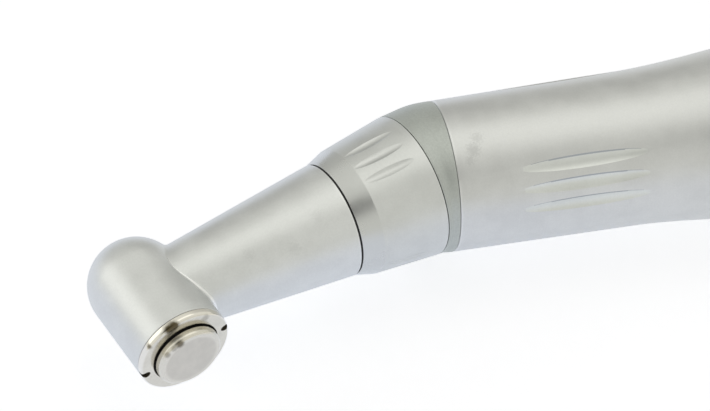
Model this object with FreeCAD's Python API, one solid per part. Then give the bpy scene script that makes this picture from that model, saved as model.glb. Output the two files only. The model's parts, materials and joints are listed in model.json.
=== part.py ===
"""Contra angle dental handpiece with a push-button latch head and a twist-lock ring.

Row frame, in millimetres: the origin is the centre of the rear mouth where the motor nose enters,
+X points back out of that mouth, the neck bends towards -Y (the button side), the bur leaves
towards +Y and +Z is square to the plane of the bend.

Three local frames carry the geometry. In each of them z runs along the axis of revolution:
  HANDLE  z forward along the handle from the mouth, x towards the button side, y is row +Z
  NECK    z forward along the neck from the elbow point, x towards the button side, y is row +Z
  HEAD    z along the bur axis towards the button, x back towards the handle, y is row +Z
"""
import FreeCAD, Part
import math
import os

V = FreeCAD.Vector

# ---------------------------------------------------------------- overall layout
BEND_DEG = 18.5            # angle between handle and neck
HANDLE_LENGTH = 60.0       # rear mouth to the sleeve's front seam
ELBOW_AHEAD = 1.74         # front seam to the point where the two axes meet
NECK_LENGTH = 32.3         # elbow point to the bur axis
RING_REAR = 1.92           # elbow point to the lock ring's rear face
RING_EDGE = 9.0            # elbow point to the crisp edge where the ring's flare begins
RING_FRONT = 11.1          # elbow point to the lock ring's front face
SEAL_WIDTH = 0.23          # black ring between lock ring and neck

# ---------------------------------------------------------------- fits and small edges
RUN = 0.03                 # radial running clearance
SLIDE = 0.02               # radial sliding clearance
SEAT = 0.01                # radial clearance of a seated, fixed piece
GAP = 0.05                 # axial gap between faces that must not rub
SEAM_EDGE = 0.12           # chamfer at a visible seam
THROUGH = 1.0              # how far a cutting body runs past the face that it opens

# ---------------------------------------------------------------- handle sleeve
HANDLE_FRONT_R = 7.75
HANDLE_WAIST_R = 7.96
FLARE_START = 19.0         # behind the front seam
FLARE_END = 16.0           # ahead of the rear mouth
FLARE_BANDS = 6
SLEEVE_REAR_WALL = 1.4
HANDLE_REAR_ROUND = 0.9
ROUND_BANDS = 2            # conical bands that make a rounded edge
SLEEVE_FRONT_BORE_R = 6.3
SLEEVE_MID_BORE_R = 6.9
SLEEVE_FRONT_BORE = 13.0   # length of the bore that takes the elbow's rear spigot

# ---------------------------------------------------------------- grip flutes
FLUTE_SPACING_DEG = 16.0
FLUTES_PER_GROUP = 3
FLUTE_GROUPS = 3
FLUTE_SWEEP = 0.6          # sweep of the grinding wheel to each side, in flute lengths
FLUTE_FACETS = 4           # flats across a flute's hollow
FLUTE_SPARE = 1.25         # how much wider than the flute the grinding wheel is
HANDLE_FLUTE = dict(length=13.4, width=1.55, depth=0.2)
HANDLE_FLUTE_FROM_FRONT = 13.1       # front seam to the middle of a flute
HANDLE_FLUTE_ANGLE = 29.0            # middle of the first group, from the button side
RING_FLUTE = dict(length=5.6, width=1.05, depth=0.15)
RING_FLUTE_MID = 6.1                 # elbow point to the middle of a flute
RING_FLUTE_ANGLE = 87.5

# ---------------------------------------------------------------- motor coupling
NOSE_R = 6.7               # bore for the motor nose
NOSE_DEPTH = 24.0
NOSE_GROOVE_AT = 10.0      # start of the groove that the nose's snap ring clicks into
NOSE_GROOVE_WIDTH = 1.4
NOSE_GROOVE_DEPTH = 0.35
SOCKET_REAR_WALL = 1.9
SOCKET_FRONT_WALL = 0.9
SOCKET_REAR_R = NOSE_R + SOCKET_REAR_WALL
SOCKET_FRONT_R = NOSE_R + SOCKET_FRONT_WALL
HANDLE_REAR_R = SOCKET_REAR_R + SLEEVE_REAR_WALL
SOCKET_SHOULDER = 20.0     # where the socket steps down
SOCKET_LENGTH = 27.0

# ---------------------------------------------------------------- drive train in the handle
TUBE_R = 4.6               # carrier tube round the drive shaft
TUBE_BORE_R = 3.1
TUBE_REAR = 23.0           # mouth to the tube's rear end
TUBE_ENGAGE = 9.2          # how far the tube reaches into the elbow's rear spigot
BUSH_R = 3.6
BUSH_LENGTH = 3.5
REAR_BUSH_SETBACK = 2.2    # tube's rear end to its rear bush, room for the shaft's collar
SHAFT_R = 1.75
TAIL_R = 1.1
TAIL_END = 15.0            # mouth to the tail's tip
COLLAR_R = 2.6
COLLAR_WIDTH = 0.9
DOG_R = 2.0
DOG_TIP = 11.5             # mouth to the tips of the dog's two tangs
DOG_FORK = 2.6
DOG_TANG_WIDTH = 1.0
DOG_FRONT = 20.2
DOG_TRAVEL = 2.5
DOG_PIN_R = 0.35
DOG_PIN_AT = 17.5
SPRING_WIRE = 0.35
DOG_SPRING_MEAN_R = 1.65
DOG_SPRING_TURNS = 3
DOG_SPRING_STEPS = 16      # straight steps in one turn

# ---------------------------------------------------------------- elbow body
SPIGOT_REAR_LENGTH = 12.0
SPIGOT_FRONT_R = 5.2       # carries the lock ring
SPIGOT_FRONT_END = 9.35
ELBOW_CAVITY_R = 4.0
ELBOW_CAVITY_BACK = 2.5    # behind the front seam
SOCKET_BORE_R = 4.22       # takes the neck's rear spigot

# ---------------------------------------------------------------- lock ring
RING_REAR_R = 7.55
RING_EDGE_R = 6.72
RING_FRONT_R = 6.0
LUG_COUNT = 3
LUG_R = 5.4
LUG_HALF_DEG = 22.0
LUG_REAR = 9.5
LUG_FRONT = 10.35
LIP_REAR = 10.45
LIP_BORE_R = 4.72
LIP_NOTCH_HALF_DEG = 25.0
RING_TURN_DEG = 60.0
STOP_PIN_R = 0.4
STOP_PIN_AT = 4.2
STOP_PIN_PROUD = 0.5

# ---------------------------------------------------------------- neck and head housing
NECK_REAR_R = 6.0
NECK_TIP_R = 3.9           # cone radius where it meets the bur axis
NECK_SPIGOT_R = 4.2
NECK_SPIGOT_REAR = 2.6
NECK_LAND_R = 4.65         # between the lugs, inside the ring's lip
NECK_BORE_R = 3.22
NECK_BLEND = 0.3           # fillet where the neck runs into the head
HEAD_R = 4.87
DOME_CENTRE = -2.24        # height of the dome's centre below the neck axis
DOME_FLAT = -6.75
CAP_SEAM = 6.56            # top of the head housing
HEAD_CAVITY_R = 4.1
CAP_THREAD_R = 4.25
CAP_SKIRT_BOTTOM = 3.6

# ---------------------------------------------------------------- neck drive
NECK_SHAFT_R = 1.3
NECK_BUSH_LENGTH = 2.5
NECK_NUT_LENGTH = 0.6
NECK_NUT_BORE_R = 1.8
SPACER_BORE_R = 2.6

# ---------------------------------------------------------------- bevel gears
PRESSURE_DEG = 20.0
BACKLASH = 0.05
DEDENDUM = 1.25            # in modules
ROOT_BURIED = 0.25         # in modules, how far a tooth runs into its blank
ELBOW_GEAR = dict(teeth=14, outer=3.6, inner=2.45, addendum=0.85)
HEAD_GEAR = dict(teeth=12, outer=3.95, inner=2.85, addendum=1.0)
ELBOW_GEAR_BACK = 0.8      # web thickness behind the tooth roots
HEAD_GEAR_BACK = 0.35

# ---------------------------------------------------------------- head bearings
RACE_WALL = 0.4
SHIELD = 0.15              # thickness of the bearing's two shields
LOWER_BEARING = dict(inner=1.6, outer=3.0, bottom=-5.2, top=-3.45)
UPPER_BEARING = dict(inner=1.9, outer=3.3, bottom=3.65, top=5.3)
NOSE_SEAL_R = 2.4
NOSE_SEAL_WIDTH = 0.5

# ---------------------------------------------------------------- chuck and latch
SHANK_BORE_R = 1.19        # for a 2.35 mm bur shank
SPINDLE_NOSE = -6.9
SPINDLE_R = 1.6
SPINDLE_TOP_R = 1.9
SPINDLE_TOP = 7.0
GEAR_SHOULDER = 3.5
D_SEAT = 4.4               # where the D-shaped seat begins
D_FLAT = 0.6               # the flat's distance from the axis
D_RELIEF_R = 1.4           # undercut between the round bore and the seat
D_RELIEF_WIDTH = 0.6
LATCH_BOTTOM = 5.5
LATCH_THICK = 0.7
LATCH_HALF_WIDTH = 1.5
LATCH_REACH = 2.85         # outer radius of the latch's ear
LATCH_TAIL = 1.55
LATCH_GRIP = 0.85          # how near the axis the gripping edge stands when locked
LATCH_HOLE_R = 1.27
EAR_INNER = 2.33
EAR_HALF_WIDTH = 0.6
EAR_TOP = 6.8
RELEASE_RATIO = 0.5        # latch travel for each unit of button travel

# ---------------------------------------------------------------- cap and button
CAP_TOP = 7.37
CAP_EDGE = 0.45
CAP_LIP_R = 3.56
CAP_LIP_BOTTOM = 7.0
CAP_BORE_R = 3.82
CAP_GAP = 0.05             # open seam between cap ring and head
SPANNER_SLOT_R = 0.45
SPANNER_SLOT_INNER = 3.9
SPANNER_SLOT_DEG = 13.4    # first slot, from the handle side
BUTTON_TOP = 8.45
BUTTON_R = 3.45
BUTTON_EDGE = 0.45
BUTTON_RIM = 7.78          # underside of the button's rim, above a dark gap
BUTTON_NECK_R = 3.2        # between rim and flange
BUTTON_WEB = 0.5
BUTTON_TRAVEL = 0.8
FLANGE_R = 3.74
FLANGE_TOP = 6.94
FLANGE_BOTTOM = 6.4
SKIRT_BOTTOM = 6.25
SKIRT_R = 3.3
SKIRT_BORE_R = 2.9         # at the skirt's lower edge, narrowing upwards
WAVE_COUNT = 3
WAVE_THICK = 0.12
WAVE_STEPS = 24


# ================================================================ frames and primitives
def local_frame(origin, z_axis, x_axis):
    """Matrix of a local frame given by its origin and two of its axes."""
    y_axis = z_axis.cross(x_axis)
    return FreeCAD.Matrix(x_axis.x, y_axis.x, z_axis.x, origin.x,
                          x_axis.y, y_axis.y, z_axis.y, origin.y,
                          x_axis.z, y_axis.z, z_axis.z, origin.z,
                          0, 0, 0, 1)


BEND = math.radians(BEND_DEG)
BUTTON_SIDE = V(0, -1, 0)
FORWARD = V(-1, 0, 0)
NECK_DIR = V(-math.cos(BEND), -math.sin(BEND), 0)
HEAD_DIR = V(math.sin(BEND), -math.cos(BEND), 0)
ELBOW_POINT = V(-HANDLE_LENGTH - ELBOW_AHEAD, 0, 0)
HEAD_POINT = ELBOW_POINT + NECK_DIR * NECK_LENGTH

HANDLE = local_frame(V(0, 0, 0), FORWARD, BUTTON_SIDE)
NECK = local_frame(ELBOW_POINT, NECK_DIR, HEAD_DIR)
HEAD = local_frame(HEAD_POINT, HEAD_DIR, NECK_DIR * -1)


def put(shape, frame):
    """Copy of a shape moved from a local frame into the row frame."""
    return shape.transformed(frame, copy=True)


def cylinder(radius, z0, z1):
    return Part.makeCylinder(radius, z1 - z0, V(0, 0, z0))


def tube(outer, inner, z0, z1):
    return cylinder(outer, z0, z1).cut(cylinder(inner, z0, z1))


def revolve(edges):
    """Solid of revolution about z from the edges of a closed outline in the x-z plane."""
    face = Part.Face(Part.Wire(edges))
    return face.revolve(V(0, 0, 0), V(0, 0, 1), 360)


def lathe(*outline):
    """Solid of revolution from (radius, z) points joined by straight lines."""
    points = [V(r, 0, z) for r, z in outline]
    return revolve(Part.makePolygon(points + points[:1]).Edges)


def line(p, q):
    return Part.LineSegment(V(p[0], 0, p[1]), V(q[0], 0, q[1])).toShape()


def arc(p, middle, q):
    return Part.Arc(*(V(r, 0, z) for r, z in (p, middle, q))).toShape()


def rounded(centre_r, centre_z, radius, turn_from, turn_to):
    """Points along a rounded corner, from one direction to another in degrees from +r towards +z."""
    turns = [turn_from + (turn_to - turn_from) * i / ROUND_BANDS for i in range(ROUND_BANDS + 1)]
    return [(centre_r + radius * math.cos(math.radians(t)), centre_z + radius * math.sin(math.radians(t)))
            for t in turns]


def turned(shape, degrees):
    """Copy of a shape turned about its local z axis."""
    return shape.rotated(V(0, 0, 0), V(0, 0, 1), degrees)


def turned_point(point, degrees):
    """Copy of a point turned about the local z axis."""
    return FreeCAD.Rotation(V(0, 0, 1), degrees).multVec(point)


def sector(outer, z0, z1, half_degrees):
    """Pie slice centred on the local x axis."""
    slice_ = Part.makeCylinder(outer, z1 - z0, V(0, 0, z0), V(0, 0, 1), 2 * half_degrees)
    return turned(slice_, -half_degrees)


def joined(shapes):
    """Several shapes as one shape, fused where they meet."""
    first, *rest = shapes
    return first.fuse(rest).removeSplitter() if rest else first


# ================================================================ grip flutes
def flute_cutter(surface_r, slope, z_mid, length, width, depth):
    """Body of a wheel that grinds one lens-shaped flute at the local x side."""
    rim_r = width ** 2 / (8 * depth)
    wheel_r = length ** 2 / (8 * depth)
    swing = math.degrees(math.asin(FLUTE_SWEEP * length / wheel_r))
    spread = math.asin(FLUTE_SPARE * width / 2 / rim_r)
    turns = [spread * (2 * i / FLUTE_FACETS - 1) for i in range(FLUTE_FACETS + 1)]
    outline = [V(rim_r * (1 - math.cos(turn)) - depth, rim_r * math.sin(turn), 0) for turn in turns]
    rim = Part.Face(Part.makePolygon(outline + outline[:1]))
    rim.rotate(V(wheel_r - depth, 0, 0), V(0, 1, 0), -swing)
    wheel = rim.revolve(V(wheel_r - depth, 0, 0), V(0, 1, 0), 2 * swing)
    wheel.rotate(V(0, 0, 0), V(0, 1, 0), slope)
    wheel.translate(V(surface_r, 0, z_mid))
    return wheel


def flute_cutters(first_angle, cutter):
    """All the flutes of one grip: groups of equal flutes, evenly spread round the axis."""
    middle = (FLUTES_PER_GROUP - 1) / 2
    angles = [first_angle + group * 360 / FLUTE_GROUPS + (i - middle) * FLUTE_SPACING_DEG
              for group in range(FLUTE_GROUPS) for i in range(FLUTES_PER_GROUP)]
    return [turned(cutter, angle) for angle in angles]


# ================================================================ bevel gears
def involute(angle):
    return math.tan(angle) - angle


def tooth_outline(teeth, cone, outer, addendum):
    """Half tooth as (half width, height over the pitch line) from root to tip."""
    module = 2 * outer * math.sin(cone) / teeth
    virtual_r = outer * math.tan(cone)
    pressure = math.radians(PRESSURE_DEG)
    base_r = virtual_r * math.cos(pressure)
    half = math.pi * module / 4 - BACKLASH / 4
    outline = []
    for height in (-DEDENDUM - ROOT_BURIED, 0, addendum):
        radius = virtual_r + height * module
        roll = math.acos(min(1, base_r / radius))
        angle = half / virtual_r + involute(pressure) - involute(roll)
        outline.append((radius * math.sin(angle), radius * math.cos(angle) - virtual_r))
    return outline


def bevel_gear(cone_deg, bore_r, back, teeth, outer, inner, addendum, first_tooth):
    """Straight bevel gear with its apex at the origin, its body below and its axis on z."""
    cone = math.radians(cone_deg)
    module = 2 * outer * math.sin(cone) / teeth
    pitch_line = V(math.sin(cone), 0, -math.cos(cone))
    across = V(0, 1, 0)
    up = V(math.cos(cone), 0, math.sin(cone))
    half = tooth_outline(teeth, cone, outer, addendum)
    outline = half + [(-u, v) for u, v in reversed(half)]
    ends = []
    for distance in (inner, outer):
        shrink = distance / outer
        points = [pitch_line * distance + across * (u * shrink) + up * (v * shrink) for u, v in outline]
        ends.append(Part.makePolygon(points + points[:1]))
    tooth = Part.makeLoft(ends, True, True)
    root_in = pitch_line * inner - up * (DEDENDUM * module * inner / outer)
    root_out = pitch_line * outer - up * (DEDENDUM * module)
    rim = root_out - up * back
    flats = [polygon(point.x, point.z, teeth) for point in (root_in, root_out, rim)]
    blank = Part.makeLoft(flats, True, True)
    bored = joined([blank] + [turned(tooth, i * 360 / teeth) for i in range(teeth)])
    return turned(bored.cut(cylinder(bore_r, rim.z - 1, 0)), first_tooth * 360 / teeth)


def polygon(flat_r, z, sides):
    """Regular polygon given by the radius to its flats, with a corner on the local x side."""
    corner_r = flat_r / math.cos(math.pi / sides)
    corners = [V(corner_r, 0, z)]
    corners += [turned_point(corners[0], i * 360 / sides) for i in range(1, sides + 1)]
    return Part.makePolygon(corners)


def gear_back(cone_deg, back, teeth, outer, **_):
    """Distance from the apex to the gear's flat back, along its axis."""
    cone = math.radians(cone_deg)
    module = 2 * outer * math.sin(cone) / teeth
    return outer * math.cos(cone) + (DEDENDUM * module + back) * math.sin(cone)


ELBOW_CONE = 90 - BEND_DEG / 2
HEAD_CONE = 45.0
ELBOW_GEAR_DEPTH = gear_back(ELBOW_CONE, ELBOW_GEAR_BACK, **ELBOW_GEAR)
HEAD_GEAR_DEPTH = gear_back(HEAD_CONE, HEAD_GEAR_BACK, **HEAD_GEAR)
FACING_BACK = FreeCAD.Matrix(1, 0, 0, 0, 0, -1, 0, 0, 0, 0, -1, 0, 0, 0, 0, 1)


# ================================================================ springs
def strip(sections, closed):
    """Bar that runs straight from each flat section to the next."""
    wires = [Part.makePolygon(points + points[:1]) for points in sections]
    return Part.makeLoft(wires, True, True, closed)


def strip_section(turn_deg, inner, outer, bottom, top):
    """Upright rectangle that reaches from one radius to another at a given turn round z."""
    turn = math.radians(turn_deg)
    corners = ((inner, bottom), (outer, bottom), (outer, top), (inner, top))
    return [V(r * math.cos(turn), r * math.sin(turn), z) for r, z in corners]


def coil_spring(mean_r, z0, z1, turns, wire):
    """Coil of square wire between two heights."""
    rise = (z1 - z0 - wire) / (turns * DOG_SPRING_STEPS)
    inner, outer = mean_r - wire / 2, mean_r + wire / 2
    sections = [strip_section(i * 360 / DOG_SPRING_STEPS, inner, outer, z0 + i * rise, z0 + i * rise + wire)
                for i in range(turns * DOG_SPRING_STEPS + 1)]
    return strip(sections, closed=False)


def wave_spring(inner, outer, z0, z1):
    """Closed ring of flat strip that waves between two heights."""
    amplitude = (z1 - z0 - WAVE_THICK) / 2
    sections = []
    for i in range(WAVE_STEPS):
        turn = 360 * i / WAVE_STEPS
        bottom = z0 + amplitude * (1 + math.cos(math.radians(WAVE_COUNT * turn)))
        sections.append(strip_section(turn, inner, outer, bottom, bottom + WAVE_THICK))
    return strip(sections, closed=True)


# ================================================================ handle
def handle_sleeve():
    """Thin sleeve: straight grip with flutes, then a flare towards the motor."""
    taper = (HANDLE_WAIST_R - HANDLE_FRONT_R) / FLARE_START
    edge = HANDLE_REAR_ROUND
    socket_rear, socket_front = SOCKET_REAR_R + SEAT, SOCKET_FRONT_R + SEAT
    front_bore = HANDLE_LENGTH - SLEEVE_FRONT_BORE
    front = [(SLEEVE_FRONT_BORE_R, HANDLE_LENGTH), (HANDLE_FRONT_R - SEAM_EDGE, HANDLE_LENGTH),
             (HANDLE_FRONT_R, HANDLE_LENGTH - SEAM_EDGE)]
    rear = rounded(HANDLE_REAR_R - edge, edge, edge, 0, -90)
    inside = [(socket_rear, 0), (socket_rear, SOCKET_SHOULDER), (socket_front, SOCKET_SHOULDER),
              (socket_front, SOCKET_LENGTH + GAP), (SLEEVE_MID_BORE_R, SOCKET_LENGTH + GAP),
              (SLEEVE_MID_BORE_R, front_bore), (SLEEVE_FRONT_BORE_R, front_bore)]
    sleeve = lathe(*front, *flare_points(taper), *rear, *inside)
    z_mid = HANDLE_LENGTH - HANDLE_FLUTE_FROM_FRONT
    surface_r = HANDLE_FRONT_R + taper * HANDLE_FLUTE_FROM_FRONT
    cutter = flute_cutter(surface_r, -math.degrees(math.atan(taper)), z_mid, **HANDLE_FLUTE)
    return sleeve.cut(flute_cutters(HANDLE_FLUTE_ANGLE, cutter))


def flare_points(taper):
    """Outline of the flare: a cubic that leaves the waist along its taper and ends parallel."""
    start = HANDLE_LENGTH - FLARE_START
    reach = start - FLARE_END
    points = []
    for i in range(FLARE_BANDS + 1):
        t = i / FLARE_BANDS
        rise = t * t * (3 - 2 * t)
        bow = t * (1 - t) ** 2
        radius = HANDLE_WAIST_R + (HANDLE_REAR_R - HANDLE_WAIST_R) * rise + taper * reach * bow
        points.append((radius, start - reach * t))
    return points


def coupling_socket():
    """Insert that the motor nose enters, with the groove for the nose's snap ring."""
    groove_r = NOSE_R + NOSE_GROOVE_DEPTH
    groove_end = NOSE_GROOVE_AT + NOSE_GROOVE_WIDTH
    return lathe((NOSE_R, 0), (SOCKET_REAR_R, 0), (SOCKET_REAR_R, SOCKET_SHOULDER),
                 (SOCKET_FRONT_R, SOCKET_SHOULDER), (SOCKET_FRONT_R, SOCKET_LENGTH),
                 (TUBE_R + SEAT, SOCKET_LENGTH), (TUBE_R + SEAT, NOSE_DEPTH), (NOSE_R, NOSE_DEPTH),
                 (NOSE_R, groove_end), (groove_r, groove_end), (groove_r, NOSE_GROOVE_AT),
                 (NOSE_R, NOSE_GROOVE_AT))


TUBE_FRONT = HANDLE_LENGTH - SPIGOT_REAR_LENGTH + TUBE_ENGAGE
REAR_BUSH = TUBE_REAR + REAR_BUSH_SETBACK
FRONT_BUSH = TUBE_FRONT - BUSH_LENGTH


def shaft_tube():
    """Carrier tube that screws into socket and elbow and holds both drive shaft bushes."""
    rear_seat = REAR_BUSH + BUSH_LENGTH
    return lathe((BUSH_R + SEAT, TUBE_REAR), (TUBE_R, TUBE_REAR), (TUBE_R, TUBE_FRONT),
                 (BUSH_R + SEAT, TUBE_FRONT), (BUSH_R + SEAT, FRONT_BUSH), (TUBE_BORE_R, FRONT_BUSH),
                 (TUBE_BORE_R, rear_seat), (BUSH_R + SEAT, rear_seat))


def drive_shaft():
    """Shaft with a thin tail for the dog, a collar that seats the dog spring and the gear end."""
    collar_front = REAR_BUSH - GAP
    collar_rear = collar_front - COLLAR_WIDTH
    end = HANDLE_LENGTH + ELBOW_AHEAD - ELBOW_GEAR_DEPTH + ELBOW_GEAR_BACK
    shaft = lathe((0, TAIL_END), (TAIL_R, TAIL_END), (TAIL_R, collar_rear),
                  (COLLAR_R, collar_rear), (COLLAR_R, collar_front), (SHAFT_R, collar_front),
                  (SHAFT_R, end), (0, end))
    pin_hole = Part.makeCylinder(DOG_PIN_R + SEAT, 2 * SHAFT_R, V(0, -SHAFT_R, DOG_PIN_AT), V(0, 1, 0))
    return shaft.cut(pin_hole)


def drive_dog():
    """Sprung claw that engages the motor: two tangs on a sleeve that slides on the shaft's tail."""
    bore = cylinder(TAIL_R + SLIDE, DOG_TIP, DOG_FRONT)
    body = cylinder(DOG_R, DOG_TIP + DOG_FORK, DOG_FRONT)
    tangs = cylinder(DOG_R, DOG_TIP, DOG_TIP + DOG_FORK)
    bar = Part.makeBox(2 * DOG_R, DOG_TANG_WIDTH, DOG_FORK, V(-DOG_R, -DOG_TANG_WIDTH / 2, DOG_TIP))
    half = DOG_PIN_R + RUN
    slot = Part.makeBox(2 * half, 4 * DOG_R, DOG_TRAVEL + 2 * half,
                        V(-half, -2 * DOG_R, DOG_PIN_AT - DOG_TRAVEL - half))
    return joined([body, tangs.common(bar)]).cut([bore, slot])


def dog_pin():
    return Part.makeCylinder(DOG_PIN_R, 2 * DOG_R, V(0, -DOG_R, DOG_PIN_AT), V(0, 1, 0))


def dog_spring():
    rear = DOG_FRONT + GAP / 2
    front = REAR_BUSH - COLLAR_WIDTH - 1.5 * GAP
    return coil_spring(DOG_SPRING_MEAN_R, rear, front, DOG_SPRING_TURNS, SPRING_WIRE)


def handle_parts():
    """Everything that lies on the handle's axis."""
    gear = bevel_gear(ELBOW_CONE, SHAFT_R + SEAT, ELBOW_GEAR_BACK, first_tooth=0, **ELBOW_GEAR)
    gear.translate(V(0, 0, HANDLE_LENGTH + ELBOW_AHEAD))
    parts = {
        "handle_sleeve": handle_sleeve(),
        "coupling_socket": coupling_socket(),
        "shaft_tube": shaft_tube(),
        "drive_rear_bush": tube(BUSH_R, SHAFT_R + RUN, REAR_BUSH, REAR_BUSH + BUSH_LENGTH - SEAT),
        "drive_front_bush": tube(BUSH_R, SHAFT_R + RUN, FRONT_BUSH + SEAT, TUBE_FRONT),
        "drive_shaft": drive_shaft(),
        "drive_gear": gear,
        "drive_dog": drive_dog(),
        "dog_pin": dog_pin(),
        "dog_spring": dog_spring(),
    }
    return {name: put(shape, HANDLE) for name, shape in parts.items()}


# ================================================================ elbow and lock ring
def elbow_body():
    """Wedge between sleeve and ring, with a spigot along each of the two axes."""
    def circle(radius, z, frame):
        return put(Part.Wire(Part.makeCircle(radius, V(0, 0, z))), frame)

    wedge = Part.makeLoft([circle(HANDLE_FRONT_R, HANDLE_LENGTH + GAP / 2, HANDLE),
                           circle(RING_REAR_R, RING_REAR - GAP / 2, NECK)], True, True)
    rear_spigot = put(cylinder(SLEEVE_FRONT_BORE_R - SEAT, HANDLE_LENGTH - SPIGOT_REAR_LENGTH,
                               HANDLE_LENGTH + 2 * GAP), HANDLE)
    front_spigot = put(cylinder(SPIGOT_FRONT_R, 0, SPIGOT_FRONT_END), NECK)
    tube_bore = put(cylinder(TUBE_R + SEAT, 0, TUBE_FRONT), HANDLE)
    rear_cavity = put(cylinder(ELBOW_CAVITY_R, 0, HANDLE_LENGTH + ELBOW_AHEAD), HANDLE)
    front_cavity = put(cylinder(SOCKET_BORE_R, -ELBOW_CAVITY_BACK, SPIGOT_FRONT_END), NECK)
    pin_hole = Part.makeCylinder(STOP_PIN_R + SEAT, SPIGOT_FRONT_R, V(0, 0, STOP_PIN_AT), V(-1, 0, 0))
    body = joined([wedge, rear_spigot, front_spigot])
    return body.cut([tube_bore, rear_cavity, front_cavity, put(pin_hole, NECK)])


def lock_ring():
    """Fluted ring whose front lip hooks over the neck's three lugs and lets them out when turned."""
    slope = (RING_REAR_R - RING_EDGE_R) / (RING_EDGE - RING_REAR)
    bore = SPIGOT_FRONT_R + SLIDE
    chamber = LUG_R + 2 * GAP
    rear = RING_REAR + GAP / 2
    ring = lathe((bore, rear), (RING_REAR_R - SEAM_EDGE, rear), (RING_REAR_R, rear + SEAM_EDGE),
                 (RING_EDGE_R, RING_EDGE), (RING_FRONT_R, RING_FRONT), (LIP_BORE_R, RING_FRONT),
                 (LIP_BORE_R, LIP_REAR), (chamber, LIP_REAR), (chamber, SPIGOT_FRONT_END),
                 (bore, SPIGOT_FRONT_END))
    notches = [turned(sector(chamber, LIP_REAR, RING_FRONT, LIP_NOTCH_HALF_DEG),
                      (i + 0.5) * 360 / LUG_COUNT) for i in range(LUG_COUNT)]
    reach = SPIGOT_FRONT_R + STOP_PIN_PROUD + GAP
    half = STOP_PIN_R + RUN
    spare = math.degrees(math.asin(half / bore))
    slot = sector(reach, STOP_PIN_AT - half, STOP_PIN_AT + half, RING_TURN_DEG / 2 + spare)
    stop_slot = turned(slot, 180 - RING_TURN_DEG / 2)
    surface_r = RING_REAR_R - slope * (RING_FLUTE_MID - RING_REAR)
    cutter = flute_cutter(surface_r, -math.degrees(math.atan(slope)), RING_FLUTE_MID, **RING_FLUTE)
    return ring.cut(notches + [stop_slot] + flute_cutters(RING_FLUTE_ANGLE, cutter))


def elbow_parts():
    pin_length = SPIGOT_FRONT_R - SOCKET_BORE_R + STOP_PIN_PROUD - GAP
    pin = Part.makeCylinder(STOP_PIN_R, pin_length, V(-SOCKET_BORE_R - GAP, 0, STOP_PIN_AT), V(-1, 0, 0))
    return {
        "elbow_body": elbow_body(),
        "lock_ring": put(lock_ring(), NECK),
        "ring_stop_pin": put(pin, NECK),
    }


# ================================================================ neck and head
def head_outside():
    """Outer surface of the head: cylinder with a spherical dome, cut flat at the bur side."""
    drop = DOME_CENTRE - DOME_FLAT
    flat_r = math.sqrt(HEAD_R ** 2 - drop ** 2)
    turn = math.atan2(drop, flat_r) / 2
    middle = (HEAD_R * math.cos(turn), DOME_CENTRE - HEAD_R * math.sin(turn))
    top_edge = CAP_SEAM - SEAM_EDGE / 2
    return revolve([line((0, DOME_FLAT), (flat_r, DOME_FLAT)),
                    arc((flat_r, DOME_FLAT), middle, (HEAD_R, DOME_CENTRE)),
                    line((HEAD_R, DOME_CENTRE), (HEAD_R, top_edge)),
                    line((HEAD_R, top_edge), (HEAD_R - SEAM_EDGE / 2, CAP_SEAM)),
                    line((HEAD_R - SEAM_EDGE / 2, CAP_SEAM), (0, CAP_SEAM)),
                    line((0, CAP_SEAM), (0, DOME_FLAT))])


NECK_FRONT_FACE = RING_FRONT + SEAL_WIDTH


def head_housing():
    """Head and neck in one piece, with the lugs that the lock ring holds."""
    cone = lathe((0, NECK_FRONT_FACE), (NECK_REAR_R - SEAM_EDGE, NECK_FRONT_FACE),
                 (NECK_REAR_R, NECK_FRONT_FACE + SEAM_EDGE), (NECK_TIP_R, NECK_LENGTH), (0, NECK_LENGTH))
    shell = put(head_outside(), HEAD).fuse(put(cone, NECK))
    shell = blend_neck(shell)
    spigot = cylinder(NECK_SPIGOT_R, NECK_SPIGOT_REAR, NECK_FRONT_FACE + THROUGH)
    land = cylinder(NECK_LAND_R, SPIGOT_FRONT_END + GAP, NECK_FRONT_FACE + THROUGH)
    lugs = [turned(sector(LUG_R, LUG_REAR, LUG_FRONT, LUG_HALF_DEG), i * 360 / LUG_COUNT)
            for i in range(LUG_COUNT)]
    plug = put(joined([spigot, land] + lugs), NECK)
    bore = put(cylinder(NECK_BORE_R, 0, NECK_LENGTH - NECK_BORE_R / 2), NECK)
    seat_r = LOWER_BEARING["outer"] + SEAT
    seal_bottom = LOWER_BEARING["bottom"] - NOSE_SEAL_WIDTH
    nose_r = SPINDLE_R + 2 * RUN
    cavity = lathe((0, DOME_FLAT - THROUGH), (nose_r, DOME_FLAT - THROUGH), (nose_r, seal_bottom),
                   (NOSE_SEAL_R + SEAT, seal_bottom), (NOSE_SEAL_R + SEAT, LOWER_BEARING["bottom"]),
                   (seat_r, LOWER_BEARING["bottom"]), (seat_r, LOWER_BEARING["top"]),
                   (HEAD_CAVITY_R, LOWER_BEARING["top"]), (HEAD_CAVITY_R, CAP_SKIRT_BOTTOM - GAP),
                   (CAP_THREAD_R + SEAT, CAP_SKIRT_BOTTOM - GAP), (CAP_THREAD_R + SEAT, CAP_SEAM + THROUGH),
                   (0, CAP_SEAM + THROUGH))
    return shell.fuse(plug).cut([bore, put(cavity, HEAD)])


def blend_neck(shell):
    """Round the crease where the neck's cone meets the head."""
    crease = []
    for edge in shell.Edges:
        middle = edge.valueAt((edge.FirstParameter + edge.LastParameter) / 2)
        from_bur_axis = HEAD_DIR.cross(middle - HEAD_POINT).Length
        from_neck_axis = NECK_DIR.cross(middle - ELBOW_POINT).Length
        on_head = abs(from_bur_axis - HEAD_R) < SEAM_EDGE
        on_cone = NECK_TIP_R < from_neck_axis < NECK_REAR_R - SEAM_EDGE
        if on_head and on_cone and not edge.isClosed():
            crease.append(edge)
    return shell.makeFillet(NECK_BLEND, crease)


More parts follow.
